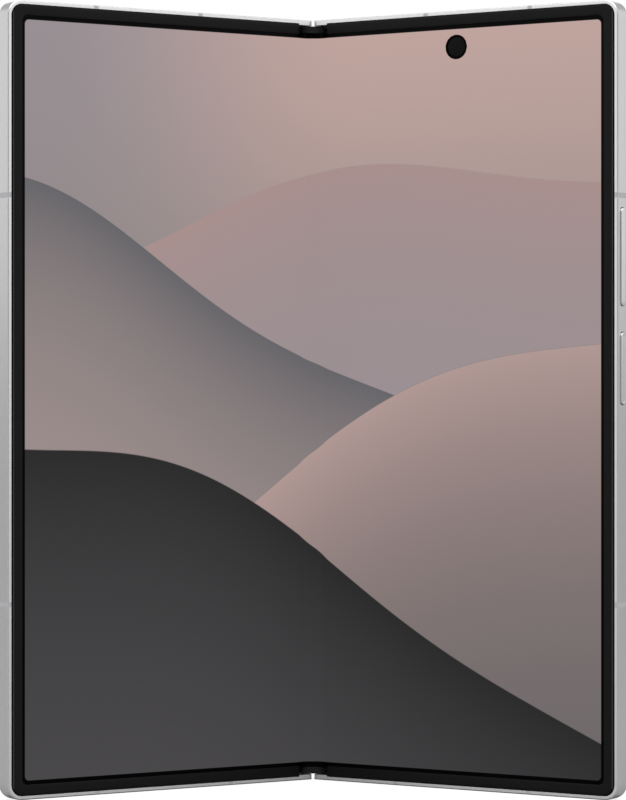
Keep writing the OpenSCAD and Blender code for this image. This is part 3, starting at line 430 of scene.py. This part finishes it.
def make_screen_material():
    """Lit panel behind its film. The picture is made on the panel's own flat coordinates in millimetres: a
    broad blush, then each swell over it; outside the lit area, a rectangle with round corners, the panel is
    black, and so are its edges and its back."""
    material = finish("screen_film", (0.0005, 0.0005, 0.0006, 1), 0.16,
                      {"Specular IOR Level": 0.04, "Emission Strength": 1.0}, variation=0.0, spread=0.015,
                      grain_mm=0.4, depth_mm=0.0, edge_mm=0.01)
    tree = material.node_tree
    flat = add(tree, "ShaderNodeSeparateXYZ", {0: add(tree, "ShaderNodeUVMap", uv_map="flat").outputs[0]})
    across, up = (calc(tree, "MULTIPLY", flat.outputs[axis], 1 / mm) for axis in ("X", "Y"))
    swell_group = make_wave_group()

    side_share = span(tree, across, -66.0, 10.0, interpolation="SMOOTHSTEP")
    top_share = span(tree, up, 70.0, 165.0, interpolation="SMOOTHSTEP")
    picture = mixed(tree, top_share, TAUPE, mixed(tree, side_share, MAUVE, PINK))
    for crest, slope, rise, length, shift, fade, under, deep in SWELLS:
        swell = add(tree, "ShaderNodeGroup", {
            "Across": across, "Up": up, "Crest": float(crest), "Slope": slope, "Rise": float(rise),
            "Length": float(length), "Shift": float(shift), "Fade": float(fade)}, node_tree=swell_group)
        body = mixed(tree, swell.outputs["Mask"], deep, under)
        picture = mixed(tree, swell.outputs["Inside"], picture, body)

    past_x = calc(tree, "SUBTRACT", calc(tree, "ABSOLUTE", across), half_w - lit_side - lit_corner_r)
    past_y = calc(tree, "SUBTRACT", calc(tree, "ABSOLUTE", calc(tree, "SUBTRACT", up, height / 2)),
                  height / 2 - lit_end - lit_corner_r)
    outside = [calc(tree, "MAXIMUM", past, 0.0) for past in (past_x, past_y)]
    to_corner = calc(tree, "SQRT", calc(tree, "ADD", *(calc(tree, "MULTIPLY", o, o) for o in outside)))
    lit = span(tree, to_corner, lit_corner_r - lit_blur, lit_corner_r + lit_blur, 1.0, 0.0)
    front = add(tree, "ShaderNodeAttribute", attribute_name="picture_side").outputs["Fac"]
    shown = mixed(tree, calc(tree, "MULTIPLY", lit, front), (0, 0, 0, 1), picture)
    tree.links.new(shown, tree.nodes["Principled BSDF"].inputs["Emission Color"])
    return material


screen_film = make_screen_material()
for label, side in SIDES.items():
    flat, faces = screen_faces(hole=label == "right")
    front_count = len(faces)
    solid, faces = thick(flat, faces, screen_depth, screen_depth + screen_t)
    points = placed(side, solid, bent(solid))
    panel = piece("inner_screen_" + label, points, faces, screen_film)
    is_front = (np.arange(len(faces)) < front_count).astype(np.float32)
    panel.data.attributes.new("picture_side", "FLOAT", "FACE").data.foreach_set("value", is_front)
    picture_map = panel.data.uv_layers.new(name="flat")
    corner_points = np.empty(len(panel.data.loops), np.int32)
    panel.data.loops.foreach_get("vertex_index", corner_points)
    picture_map.data.foreach_set("uv", (solid[corner_points, :2] * (side, 1) * mm).astype(np.float32).ravel())
    bend_to = placed(side, np.array([bend_end, 0, screen_depth]))
    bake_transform(panel)
    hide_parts("display_" + label, "display_fold")


# ---- Inner camera ----
# Behind the round hole of the right screen sits the inner camera: a black barrel whose glass ends just
# under the film, with a dark iris round a small domed lens.

def turned(profile, x, y, steps):
    """Loops of a turned part: each profile point (radius, depth) carried round the axis through (x, y)."""
    angle = np.arange(steps) * math.tau / steps
    radius, depth = np.asarray(profile, float).T
    return np.stack([x + radius[:, None] * np.cos(angle), y + radius[:, None] * np.sin(angle),
                     np.repeat(depth[:, None], steps, 1)], -1)


def dome(radius, near, far, count=7):
    """Profile points of a shallow dome, from its rim at depth `far` to its middle at depth `near`."""
    share = np.linspace(1, 0.08, count)
    return [(radius * s, near + (far - near) * s * s) for s in share]


camera_black = finish("camera_black", linear(5, 5, 5), 0.4, {"Specular IOR Level": 0.015}, variation=0.08,
                      spread=0.06, grain_mm=0.2, depth_mm=0.001, edge_mm=0.02)
eye_glass = finish("eye_glass", linear(10, 12, 11), 0.14, {"Specular IOR Level": 0.06}, variation=0.2,
                   spread=0.02, grain_mm=0.6, depth_mm=0.0, edge_mm=0.02)
iris_profile = [(2.48, 1.2), (2.48, 0.34), (2.42, 0.29), (2.2, 0.28), (2.1, 0.34), (1.9, 0.4), (0.5, 0.4)]
eye_profile = [(2.02, 0.5), (2.02, 0.37)] + dome(1.99, 0.27, 0.36, 12)
for label, profile, material in (("iris", iris_profile, camera_black), ("lens", eye_profile, eye_glass)):
    points, faces = loft(turned(profile, eye_x, eye_y, 96))
    part = piece("inner_camera_" + label, placed(1, points), faces, material, crisp=30)
    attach(part, "right_half")
    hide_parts("inner_camera")


# ---- Keys ----
# Two anodised aluminium caps stand proud of the right side wall in close slots: a long volume rocker, and a
# shorter power key whose shallow dish is the finger sensor's face.

key_w, key_rise, key_depth, key_neck, key_travel = 1.8, 0.3, 2.1, 0.9, 0.25
volume_l, volume_mid, power_l, power_mid = 19.4, 28.35, 14.3, 6.25
# painted highlight: the frame's aluminium made a little lighter and given almost none of the painted recess
# shade, so the caps' edges look brighter
lightened_key_aluminium = finish("lightened_key_aluminium", linear(238, 238, 239), 0.3, {"Metallic": 1.0}, variation=0.012,
                       spread=0.04, grain_mm=0.09, depth_mm=0.001, edge_mm=0.04, recess_shade=0.06)


def stadium(x, y, half_l, half_width, count=14):
    """Flat loop round a slot shape that lies along y on the side wall: two half circles and the sides
    between, in the plane at distance x from the fold."""
    angle = np.linspace(0, math.pi, count)
    run = half_l - half_width
    top = np.stack([half_width * np.cos(angle), run + half_width * np.sin(angle)], -1)
    loop = np.concatenate([top, -top])
    return np.stack([np.full(len(loop), x), y + loop[:, 1], key_depth + loop[:, 0]], -1)


def key_loops(middle, length, dish):
    """Stack of slot-shaped loops from the stem through the cap: the wall rises, turns over a shallow quarter
    ellipse to the face, and the face sinks by `dish` inside a narrow border or else swells very slightly."""
    y, out = height / 2 + middle, half_w + key_rise
    roll = np.linspace(0, math.pi / 2, 6)
    edge, edge_rise, stem_l, stem_w = 0.26, 0.09, 2.0, 0.7
    back = half_w - wall_t
    loops = [(back - key_neck + key_travel, stem_l, stem_w), (back - 0.02, stem_l, stem_w),
             (back, length / 2, key_w / 2)]
    loops += [(out - edge_rise + edge_rise * math.sin(a), length / 2 - edge * (1 - math.cos(a)),
               key_w / 2 - edge * (1 - math.cos(a))) for a in roll]
    if dish:
        loops += [(out - dish, length / 2 - edge - 0.14, key_w / 2 - edge - 0.12)]
    loops += [(out - dish + (0 if dish else 0.015), length / 2 - edge - 0.3, key_w / 2 - edge - 0.3)]
    return np.array([stadium(x, y, half_l, half_width) for x, half_l, half_width in loops])


for label, middle, length, dish, body in (("volume", volume_mid, volume_l, 0.0, "volume_rocker"),
                                          ("power", power_mid, power_l, 0.05, "power_button")):
    points, faces = loft(key_loops(middle, length, dish))
    cap = piece(label + "_key_cap", placed(1, points), faces, lightened_key_aluminium, crisp=30)
    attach(cap, body)
    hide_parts(label + "_key")


# ---- Hinge ----
# A thin aluminium spine with two moulded end caps holds the hinge modules: ground steel brackets, geared
# arms with their idlers, arc rotators, sprung clips and blackened screws.

end_cap_plastic = finish("end_cap_plastic", linear(30, 31, 33), 0.42, {"Specular IOR Level": 0.22},
                         variation=0.05, grain_mm=0.12, depth_mm=0.002, edge_mm=0.08)
ground_steel = finish("ground_steel", linear(168, 169, 172), 0.3, {"Metallic": 1.0}, variation=0.03,
                      spread=0.08, grain_mm=0.06, depth_mm=0.001, stretch=(1, 1, 0.06))
clip_steel = finish("clip_steel", linear(122, 114, 98), 0.35, {"Metallic": 1.0}, variation=0.06, grain_mm=0.1)
black_steel = finish("black_steel", linear(58, 58, 61), 0.38, {"Metallic": 0.9}, variation=0.08,
                     grain_mm=0.08, edge_mm=0.04)
HINGE_ENDS = ("top", "bottom")
coat(satin_aluminium, "hinge_housing")
coat(ground_steel, *("hinge_bracket_" + end for end in HINGE_ENDS),
     *(f"{label}_{part}_{end}" for label in SIDES for part in ("gear_arm", "rotator") for end in HINGE_ENDS),
     *(label + "_idler_gears" for label in SIDES))
coat(clip_steel, "torque_clips")
coat(black_steel, "hinge_screws", *(label + "_rotator_screws" for label in SIDES))


cap_inset, cap_t, cap_half, cap_depth, cap_crown = 1.2, 1.45, 2.4, 0.35, 0.4
spine_r, shoulder_depth = 2.42, 2.4


def end_cap_outline():
    """Row-frame outline of a cap as (x, y): a crowned face, steps down to the shoulders, and the spine's
    round back, which is one arc about each hinge axis joined by a flat."""
    across = np.linspace(-1, 1, 17)
    face = np.stack([across * cap_half, cap_depth + cap_crown * across ** 2], -1)
    start = math.asin((shoulder_depth - axis_depth) / spine_r)
    angle = np.linspace(start, math.pi / 2, 12)
    arc = np.stack([axis_x + spine_r * np.cos(angle), axis_depth + spine_r * np.sin(angle)], -1)
    step = [(cap_half, shoulder_depth)]
    outline = np.concatenate([face, step, arc, arc[::-1] * (-1, 1), np.multiply(step, (-1, 1))])
    return outline * (1, -1) + (0, axis_depth - axis_y)


flat, faces = plate(end_cap_outline())
solid, faces = thick(flat, faces.tolist(), cap_inset, cap_inset + cap_t)
for end in HINGE_ENDS:
    up = solid[:, 2] if end == "bottom" else height - solid[:, 2]
    cap = piece("end_cap_" + end, np.stack([solid[:, 0], -solid[:, 1], up], -1) * mm, faces, end_cap_plastic)
    cap_edge = cap.modifiers.new("rounded_edge", "BEVEL")
    cap_edge.width, cap_edge.segments, cap_edge.limit_method = 0.1 * mm, 3, "ANGLE"
    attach(cap, "spine")
    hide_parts("hinge_end_cap_" + end)


# ---- Hinge flex cable ----
# A polyimide ribbon at mid height carries the signals from half to half: it lies on the spine's floor, climbs
# past its lip and goes into each half; it is shaped for the rest pose only.

flex_film = finish("flex_film", linear(150, 92, 38), 0.34, {"Coat Weight": 0.4}, variation=0.08, grain_mm=0.5,
                   depth_mm=0.002, stretch=(1, 1, 6))
cable_w, cable_t, cable_depth, floor_depth, cable_bend = 12, 0.12, 2.62, 3.05, 2.7
rail_end = 4.6


def ribbon_line():
    """Row-frame route of the ribbon's underside in one half, as (x, y): from the spine's floor at the fold
    line, past its lip, and into the half; it runs straight between these places."""
    inner = np.array([[0.0, axis_y - axis_depth + floor_depth - 0.05],
                      [2.0, axis_y - axis_depth + cable_bend]])
    outer = placed(1,
                   np.array([[rail_end, 0, cable_depth + cable_t],
                             [rail_end + 1.5, 0, cable_depth + cable_t]]))
    corners = np.concatenate([inner, outer[:, :2] / mm])
    places = np.linspace(0, 1, 9)[1:, None]
    return np.concatenate([[corners[0]]] + [a + (b - a) * places for a, b in zip(corners, corners[1:])])


for label, side in SIDES.items():
    line = ribbon_line()
    ahead = np.gradient(line, axis=0)
    across = np.stack([-ahead[:, 1], ahead[:, 0]], -1) / np.hypot(*ahead.T)[:, None]
    across *= np.where(across[:, 1:] > 0, -1, 1) * cable_t
    section = np.stack([line, line, line + across, line + across], 1)
    up = height / 2 + np.array([-1, 1, 1, -1]) * cable_w / 2
    loops = np.concatenate([section, np.broadcast_to(up[None, :, None], section.shape[:2] + (1,))], -1)
    points, faces = loft(loops * (side * mm, mm, mm))
    ribbon = piece("hinge_ribbon_" + label, points, faces, flex_film)
    start, end = line[8], line[16]
    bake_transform(ribbon)
    if label == "right":
        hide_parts("hinge_flex_cable")


# ---- Ports and tray ----
# The lower edge has the oval USB-C socket, drawn from steel, with gold contacts on its moulded tongue, beside
# drilled sound outlets; the SIM tray's face is milled to lie flush in the left half's edge.

port_steel = finish("port_steel", linear(176, 176, 178), 0.25, {"Metallic": 1.0}, variation=0.03,
                    grain_mm=0.08, stretch=(0.2, 0.2, 1))
contact_gold = finish("contact_gold", linear(222, 184, 112), 0.28, {"Metallic": 1.0}, variation=0.04,
                      grain_mm=0.1)
mesh_steel = finish("mesh_steel", linear(60, 60, 62), 0.45, {"Metallic": 0.8}, variation=0.1, grain_mm=0.1)
usb_x, usb_depth, tongue_t = 36, 2.35, 0.7
contact_count, contact_pitch, contact_w, contact_t = 12, 0.5, 0.26, 0.03
contact_y = (1.75, 3.9)
coat(port_steel, "usb_c_socket")
coat(mesh_steel, "speaker_mesh")
coat(satin_aluminium, "sim_tray")


def contact_loops(x, face):
    """One pad on the tongue as loops along y: a flat strip whose two ends dip into the tongue."""
    y = np.array([contact_y[0], contact_y[0] + 0.1, contact_y[1] - 0.1, contact_y[1]])
    lift = np.array([0.2, 1, 1, 0.2]) * contact_t * face
    edge = np.array([-1, 1, 1, -1]) * contact_w / 2
    base = usb_depth + face * tongue_t / 2
    depth = base + np.array([[-0.01 * face, -0.01 * face, 1, 1]]) * np.where([[0, 0, 1, 1]], lift[:, None], 1)
    return np.stack([np.broadcast_to(x + edge, depth.shape), np.broadcast_to(y[:, None], depth.shape),
                     depth], -1)


contact_xs = usb_x + (np.arange(contact_count) - (contact_count - 1) / 2) * contact_pitch
pads = [loft(contact_loops(x, face)) for face in (-1, 1) for x in contact_xs]
pad_points = np.concatenate([points for points, _ in pads])
pad_starts = np.cumsum([0] + [len(points) for points, _ in pads]).tolist()
pad_faces = [[start + i for i in corners] for start, (_, faces) in zip(pad_starts, pads) for corners in faces]
contacts = piece("usb_contacts", placed(1, pad_points), pad_faces, contact_gold)
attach(contacts, "right_half")


# ---- Rear glass and camera island ----
# The right half's back is etched glass over a silver ink. A pill-shaped aluminium island stands on it with
# three cameras in turned rings, each under its own coated glass, and a ribbed flash window lies beside it.

rear_glass = finish("rear_glass", linear(196, 197, 200), 0.34,
                    {"Metallic": 0.5, "Coat Weight": 0.5, "Coat Roughness": 0.22,
                     "Specular IOR Level": 0.5}, variation=0.01, spread=0.02, grain_mm=0.05,
                    depth_mm=0.0008, edge_mm=0.12)
ring_metal = finish("ring_metal", linear(220, 220, 223), 0.2, {"Metallic": 1.0}, variation=0.02, spread=0.04,
                    grain_mm=0.06, edge_mm=0.03)
island_metal = finish("island_metal", linear(206, 206, 209), 0.32, {"Metallic": 1.0}, variation=0.012,
                      spread=0.04, grain_mm=0.09, depth_mm=0.001, edge_mm=0.03)
coat(rear_glass, "rear_glass")
back_depth = 4.15
island_x, island_w, island_l, island_rise = half_w - 12.4, 16.0, 47.0, 1.1
island_y = height - 4.6 - island_l / 2
camera_ys = [island_y - 15.2, island_y, island_y + 15.2]
well_r, ring_r, lens_r, ring_rise = 5.6, 6.6, 5.2, 0.9
island_back = back_depth + island_rise


def pill(x, y, width, length, count=20):
    """Flat outline of a pill shape that stands along y, counter-clockwise."""
    angle = np.linspace(0, math.pi, count)
    top = np.stack([width / 2 * np.cos(angle), (length - width) / 2 + width / 2 * np.sin(angle)], -1)
    return np.concatenate([top, -top]) + (x, y)


flat, faces = plate(pill(island_x, island_y, island_w, island_l),
                    [(island_x, y, well_r, 72) for y in camera_ys])
solid, faces = thick(flat, faces.tolist(), back_depth, island_back)
island = piece("camera_island_cover", placed(1, solid), faces, island_metal)
# the outer rim of the face is rounded: the edges whose middle lies on the pill's outline at the back
edge_points = np.empty(2 * len(island.data.edges), np.int32)
island.data.edges.foreach_get("vertices", edge_points)
middle = solid[edge_points.reshape(-1, 2)].mean(1)
past_straight = np.maximum(np.abs(middle[:, 1] - island_y) - (island_l - island_w) / 2, 0)
on_outline = np.hypot(middle[:, 0] - island_x, past_straight) > 0.99 * island_w / 2
on_rim = (on_outline & (middle[:, 2] > island_back - 0.01)).astype(np.float32)
island.data.attributes.new("bevel_weight_edge", "FLOAT", "EDGE").data.foreach_set("value", on_rim)
island_edge = island.modifiers.new("rounded_edge", "BEVEL")
island_edge.width, island_edge.segments, island_edge.limit_method = 0.3 * mm, 4, "WEIGHT"
island_edge.harden_normals = True
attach(island, "right_half")
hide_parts("camera_island")

# ring: wall, outer roll, flat with a fine groove, inner chamfer down to the glass
roll = np.linspace(0, math.pi / 2, 6)
top_depth = island_back + ring_rise
ring_roll = 0.28
ring_profile = [(ring_r - ring_roll * (1 - math.cos(a)), top_depth - ring_roll + ring_roll * math.sin(a))
                for a in roll]
ring_profile += [(6.05, top_depth), (6.02, top_depth - 0.04), (5.96, top_depth - 0.04), (5.93, top_depth),
                 (5.5, top_depth), (lens_r + 0.02, top_depth - 0.2), (lens_r + 0.02, island_back + 0.01),
                 (ring_r, island_back + 0.01)]
clear_glass = finish("lens_cover_glass", (1, 1, 1, 1), 0.03,
                     {"Transmission Weight": 1.0, "IOR": 1.5, "Coat Weight": 0.3}, variation=0.0,
                     spread=0.01, grain_mm=2.0, depth_mm=0.0, edge_mm=0.02)
baffle_black = finish("baffle_black", linear(12, 12, 13), 0.5, {"Specular IOR Level": 0.3}, variation=0.1,
                      grain_mm=0.15, depth_mm=0.003, edge_mm=0.02)
coated_lens = finish("coated_lens", linear(10, 12, 26), 0.04,
                     {"Coat Weight": 1.0, "Coat Roughness": 0.02, "Coat Tint": linear(150, 170, 255)},
                     variation=0.1, spread=0.01, grain_mm=1.5, depth_mm=0.0, edge_mm=0.02)
glass_depth, floor = top_depth - 0.28, seat_depth + 3.2
for number, y in enumerate(camera_ys, 1):
    barrel = [(5.35, floor), (5.35, island_back - 0.1), (5.1, glass_depth - 0.32), (4.5, glass_depth - 0.32),
              (4.4, glass_depth - 0.42), (3.9, glass_depth - 0.42), (3.8, glass_depth - 0.55),
              (3.3, glass_depth - 0.58), (3.2, glass_depth - 0.72)]
    barrel += [(r, glass_depth - 0.72 - 0.12 * (1 - r / 3.0)) for r in (3.0, 2.0, 0.4)]
    cover = [(lens_r - 0.03, glass_depth - 0.22), (lens_r - 0.03, glass_depth - 0.03),
             (lens_r - 0.08, glass_depth), (3.0, glass_depth), (0.5, glass_depth)]
    lens_rim, lens_top = glass_depth - 0.62, glass_depth - 0.34
    lens = [(2.6, glass_depth - 0.8)] + dome(2.6, lens_top, lens_rim, 12)
    for label, profile, material, ring, slot, hides in (
            ("camera_ring", ring_profile, ring_metal, True, "ring_metal", "camera_rings"),
            ("camera_baffle", barrel, baffle_black, False, "camera_black", "rear_camera_modules"),
            ("camera_cover_glass", cover, clear_glass, False, "lens_glass", "camera_lenses"),
            ("camera_front_lens", lens, coated_lens, False, "lens_glass", None)):
        points, faces = loft(turned(profile, island_x, y, 96), ring)
        part = piece(f"{label}_{number}", placed(1, points), faces, material, crisp=28)
        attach(part, "right_half")
        if hides:
            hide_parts(hides)

# flash: clear window with concentric ribs over a yellow emitter
flash_x, flash_y, flash_r = island_x - island_w / 2 - 5, camera_ys[2], 2.4
flash_lens = finish("flash_lens", linear(242, 238, 218), 0.12,
                    {"Transmission Weight": 0.35, "IOR": 1.49, "Coat Weight": 0.5}, variation=0.05,
                    spread=0.03, grain_mm=0.5, depth_mm=0.0, edge_mm=0.02)
ribs = np.linspace(flash_r - 0.3, 0.2, 23)
flash_top, rib_depth = back_depth - 0.02, 0.07
flash_profile = [(1.75, 1.7), (1.75, 3.6), (flash_r, 3.6), (flash_r, flash_top), (flash_r - 0.2, flash_top)]
flash_profile += [(r, flash_top - (rib_depth if i % 2 else 0.0)) for i, r in enumerate(ribs)]
points, faces = loft(turned(flash_profile, flash_x, flash_y, 64))
flash = piece("flash_rib_lens", placed(1, points), faces, flash_lens, crisp=20)
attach(flash, "right_half")
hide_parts("flash_window")


# ---- Cover glass ----
# The left half's back is the cover screen: a sheet of clear glass, black from below while the screen is off,
# with a small camera behind it; its rings are painted on the glass, and its lens's faint glint is a painted
# reflection.

def make_cover_glass():
    """Black glass with the small camera's rings painted on: each ring is a narrow band of distance from the
    lens axis, and the lighter bluish one near the middle is a painted glint of the lens."""
    material = finish("cover_glass", linear(9, 9, 11), 0.05, {"Coat Weight": 0.6, "Coat Roughness": 0.02},
                      variation=0.1, spread=0.015, grain_mm=3.0, depth_mm=0.0, edge_mm=0.15)
    tree = material.node_tree
    centre = placed(-1, np.array([cover_eye_x, cover_eye_y, back_depth]))
    place = add(tree, "ShaderNodeTexCoord").outputs["Object"]
    away = add(tree, "ShaderNodeVectorMath", {0: place, 1: tuple(centre)},
               operation="DISTANCE").outputs["Value"]
    away = calc(tree, "MULTIPLY", away, 1 / mm)
    tint = tree.nodes["Group"].outputs["Colour"]
    # painted rings of the camera behind the glass; the innermost, lighter bluish ring is a painted glint
    for radius, width, colour in ((1.86, 0.05, linear(52, 52, 56)), (1.15, 0.35, linear(16, 18, 34)),
                                  (0.55, 0.12, linear(36, 40, 66))):
        off = calc(tree, "ABSOLUTE", calc(tree, "SUBTRACT", away, radius))
        tint = mixed(tree, span(tree, off, width, width + 0.05, 1.0, 0.0), tint, colour)
    tree.links.new(tint, tree.nodes["Principled BSDF"].inputs["Base Color"])
    return material


cover_eye_x, cover_eye_y = 36, height - 8.2
coat(make_cover_glass(), "cover_glass")
coat(camera_black, "cover_camera")


# ---- Inside the halves ----
# Under the decks lie the pouch cells, green laminate boards with tinned shield cans, speakers, motor, copper
# charging coil and magnets, glued or screwed to the frames before the glass closes them in.

INSIDES = {finish("plate_steel", linear(150, 151, 154), 0.36, {"Metallic": 1.0}, variation=0.03,
                  grain_mm=0.1, stretch=(1, 1, 0.1)): ("left_support_plate", "right_support_plate"),
           finish("pouch_foil", linear(44, 45, 49), 0.4, {"Metallic": 0.4}, variation=0.12, grain_mm=1.2,
                  depth_mm=0.02, edge_mm=0.2): ("left_battery", "right_battery"),
           finish("board_laminate", linear(20, 66, 44), 0.45, {"Coat Weight": 0.3}, variation=0.25,
                  grain_mm=0.5, depth_mm=0.01): ("left_board", "main_board", "sub_board"),
           finish("tinned_sheet", linear(176, 177, 178), 0.32, {"Metallic": 1.0}, variation=0.04,
                  grain_mm=0.2): ("shield_cans", "sim_reader"),
           finish("cover_panel", linear(12, 12, 14), 0.2, variation=0.05,
                  grain_mm=1.0): ("cover_display_panel",),
           finish("speaker_plastic", linear(36, 36, 38), 0.5, variation=0.08, grain_mm=0.15,
                  depth_mm=0.004): ("earpiece_speaker", "loudspeaker"),
           finish("magnet_nickel", linear(160, 160, 158), 0.24, {"Metallic": 1.0}, variation=0.04,
                  grain_mm=0.3): ("left_magnets", "right_magnets"),
           finish("motor_shell", linear(165, 165, 168), 0.3, {"Metallic": 1.0}, variation=0.03,
                  grain_mm=0.1, stretch=(0.1, 0.1, 1)): ("haptic_motor",),
           finish("coil_copper", linear(196, 122, 72), 0.35, {"Metallic": 1.0}, variation=0.12,
                  grain_mm=0.3, depth_mm=0.02): ("charging_coil",), flex_film: ("key_switch_flex",), }
for material, names in INSIDES.items():
    coat(material, *names)


# ---- Studio ----
# The phone stands on a pale floor before a white sweep. A broad soft light hangs overhead, two more stand at
# the sides towards the back and one behind, and the camera is level with the phone's middle.

camera_away, camera_up, camera_lens, camera_sensor = 695.3, 79.2, 149.97, 36.0
fold_line_y = axis_y - axis_depth
camera = bpy.data.objects.new("camera", bpy.data.cameras.new("camera"))
camera.location = (0, (fold_line_y - camera_away) * mm, camera_up * mm)
camera.rotation_euler = (math.pi / 2, 0, 0)
camera.data.lens, camera.data.sensor_width = camera_lens, camera_sensor
camera.data.clip_start = 0.01
bpy.context.scene.collection.objects.link(camera)
bpy.context.scene.camera = camera
bpy.context.scene.view_settings.view_transform = "Standard"


def soft_light(name, place, target, size, power):
    """Square area light at a place, facing a target."""
    lamp = bpy.data.objects.new(name, bpy.data.lights.new(name, "AREA"))
    lamp.data.shape, lamp.data.size, lamp.data.energy = "SQUARE", size, power
    lamp.location = place
    x, y, z = np.subtract(target, place)
    lamp.rotation_euler = (math.atan2(math.hypot(x, y), -z), 0, math.atan2(y, x) - math.pi / 2)
    bpy.context.scene.collection.objects.link(lamp)


phone_middle = (0, 0, height / 2 * mm)
soft_light("overhead", (0, -0.1, 0.75), phone_middle, 0.6, 1.6)
for label, side in SIDES.items():
    soft_light(label + "_back", (side * 0.42, 0.19, 0.22), (0, 0, 0.12), 0.24, 0.077)
soft_light("behind", (0, 0.75, 0.42), phone_middle, 0.5, 0.8)

world = bpy.data.worlds.new("white_sweep")
bpy.context.scene.world = world
world.use_nodes = True
sky = world.node_tree
# the sweep is brightest beside the camera, darker behind the phone and straight before it, and lighter above
direct = add(sky, "ShaderNodeSeparateXYZ", {0: add(sky, "ShaderNodeTexCoord").outputs["Generated"]})
LEVELS = ((0, 0.24), (0.08, 0.3), (0.22, 1.16), (0.34, 1.16), (0.5, 0.72), (0.68, 0.38), (1, 0.36))
ring = add(sky, "ShaderNodeValToRGB", {0: span(sky, direct.outputs["Y"], -1.0, 1.0)})
while len(ring.color_ramp.elements) < len(LEVELS):
    ring.color_ramp.elements.new(0.5)
for stop, (back, level) in zip(ring.color_ramp.elements, LEVELS):
    stop.position, stop.color = back, (level, level, level, 1)
lifted = calc(sky, "MULTIPLY", ring.outputs[0], calc(sky, "MULTIPLY_ADD", direct.outputs["Z"], 0.3, 1.0))
seen = span(sky, add(sky, "ShaderNodeLightPath").outputs["Is Camera Ray"], 0.0, 1.0, lifted, 1.0)
sky.links.new(seen, sky.nodes["Background"].inputs["Strength"])
sky.nodes["Background"].inputs["Color"].default_value = (1, 1, 1, 1)

floor_mesh = bpy.data.meshes.new("floor")
reach, floor_z = 3.0, -0.02 * mm
corners = [(-reach, -reach, floor_z), (reach, -reach, floor_z), (reach, reach, floor_z),
           (-reach, reach, floor_z)]
floor_mesh.from_pydata(corners, [], [(0, 1, 2, 3)])
floor_plane = bpy.data.objects.new("floor", floor_mesh)
bpy.context.scene.collection.objects.link(floor_plane)
pale_floor = finish("pale_floor", (0.36, 0.36, 0.36, 1), 0.7, {"Specular IOR Level": 0.1,
                    "Emission Color": (1, 1, 1, 1)}, variation=0.01, grain_mm=1.0)
paper = pale_floor.node_tree
glow = calc(paper, "MULTIPLY_ADD", add(paper, "ShaderNodeLightPath").outputs["Is Camera Ray"], 0.75, 0.05)
paper.links.new(glow, paper.nodes["Principled BSDF"].inputs["Emission Strength"])
# from below the floor is clear, so that the phone's lower edge can be seen
top_side = calc(paper, "SUBTRACT", 1.0, add(paper, "ShaderNodeNewGeometry").outputs["Backfacing"])
paper.links.new(top_side, paper.nodes["Principled BSDF"].inputs["Alpha"])
floor_mesh.materials.append(pale_floor)
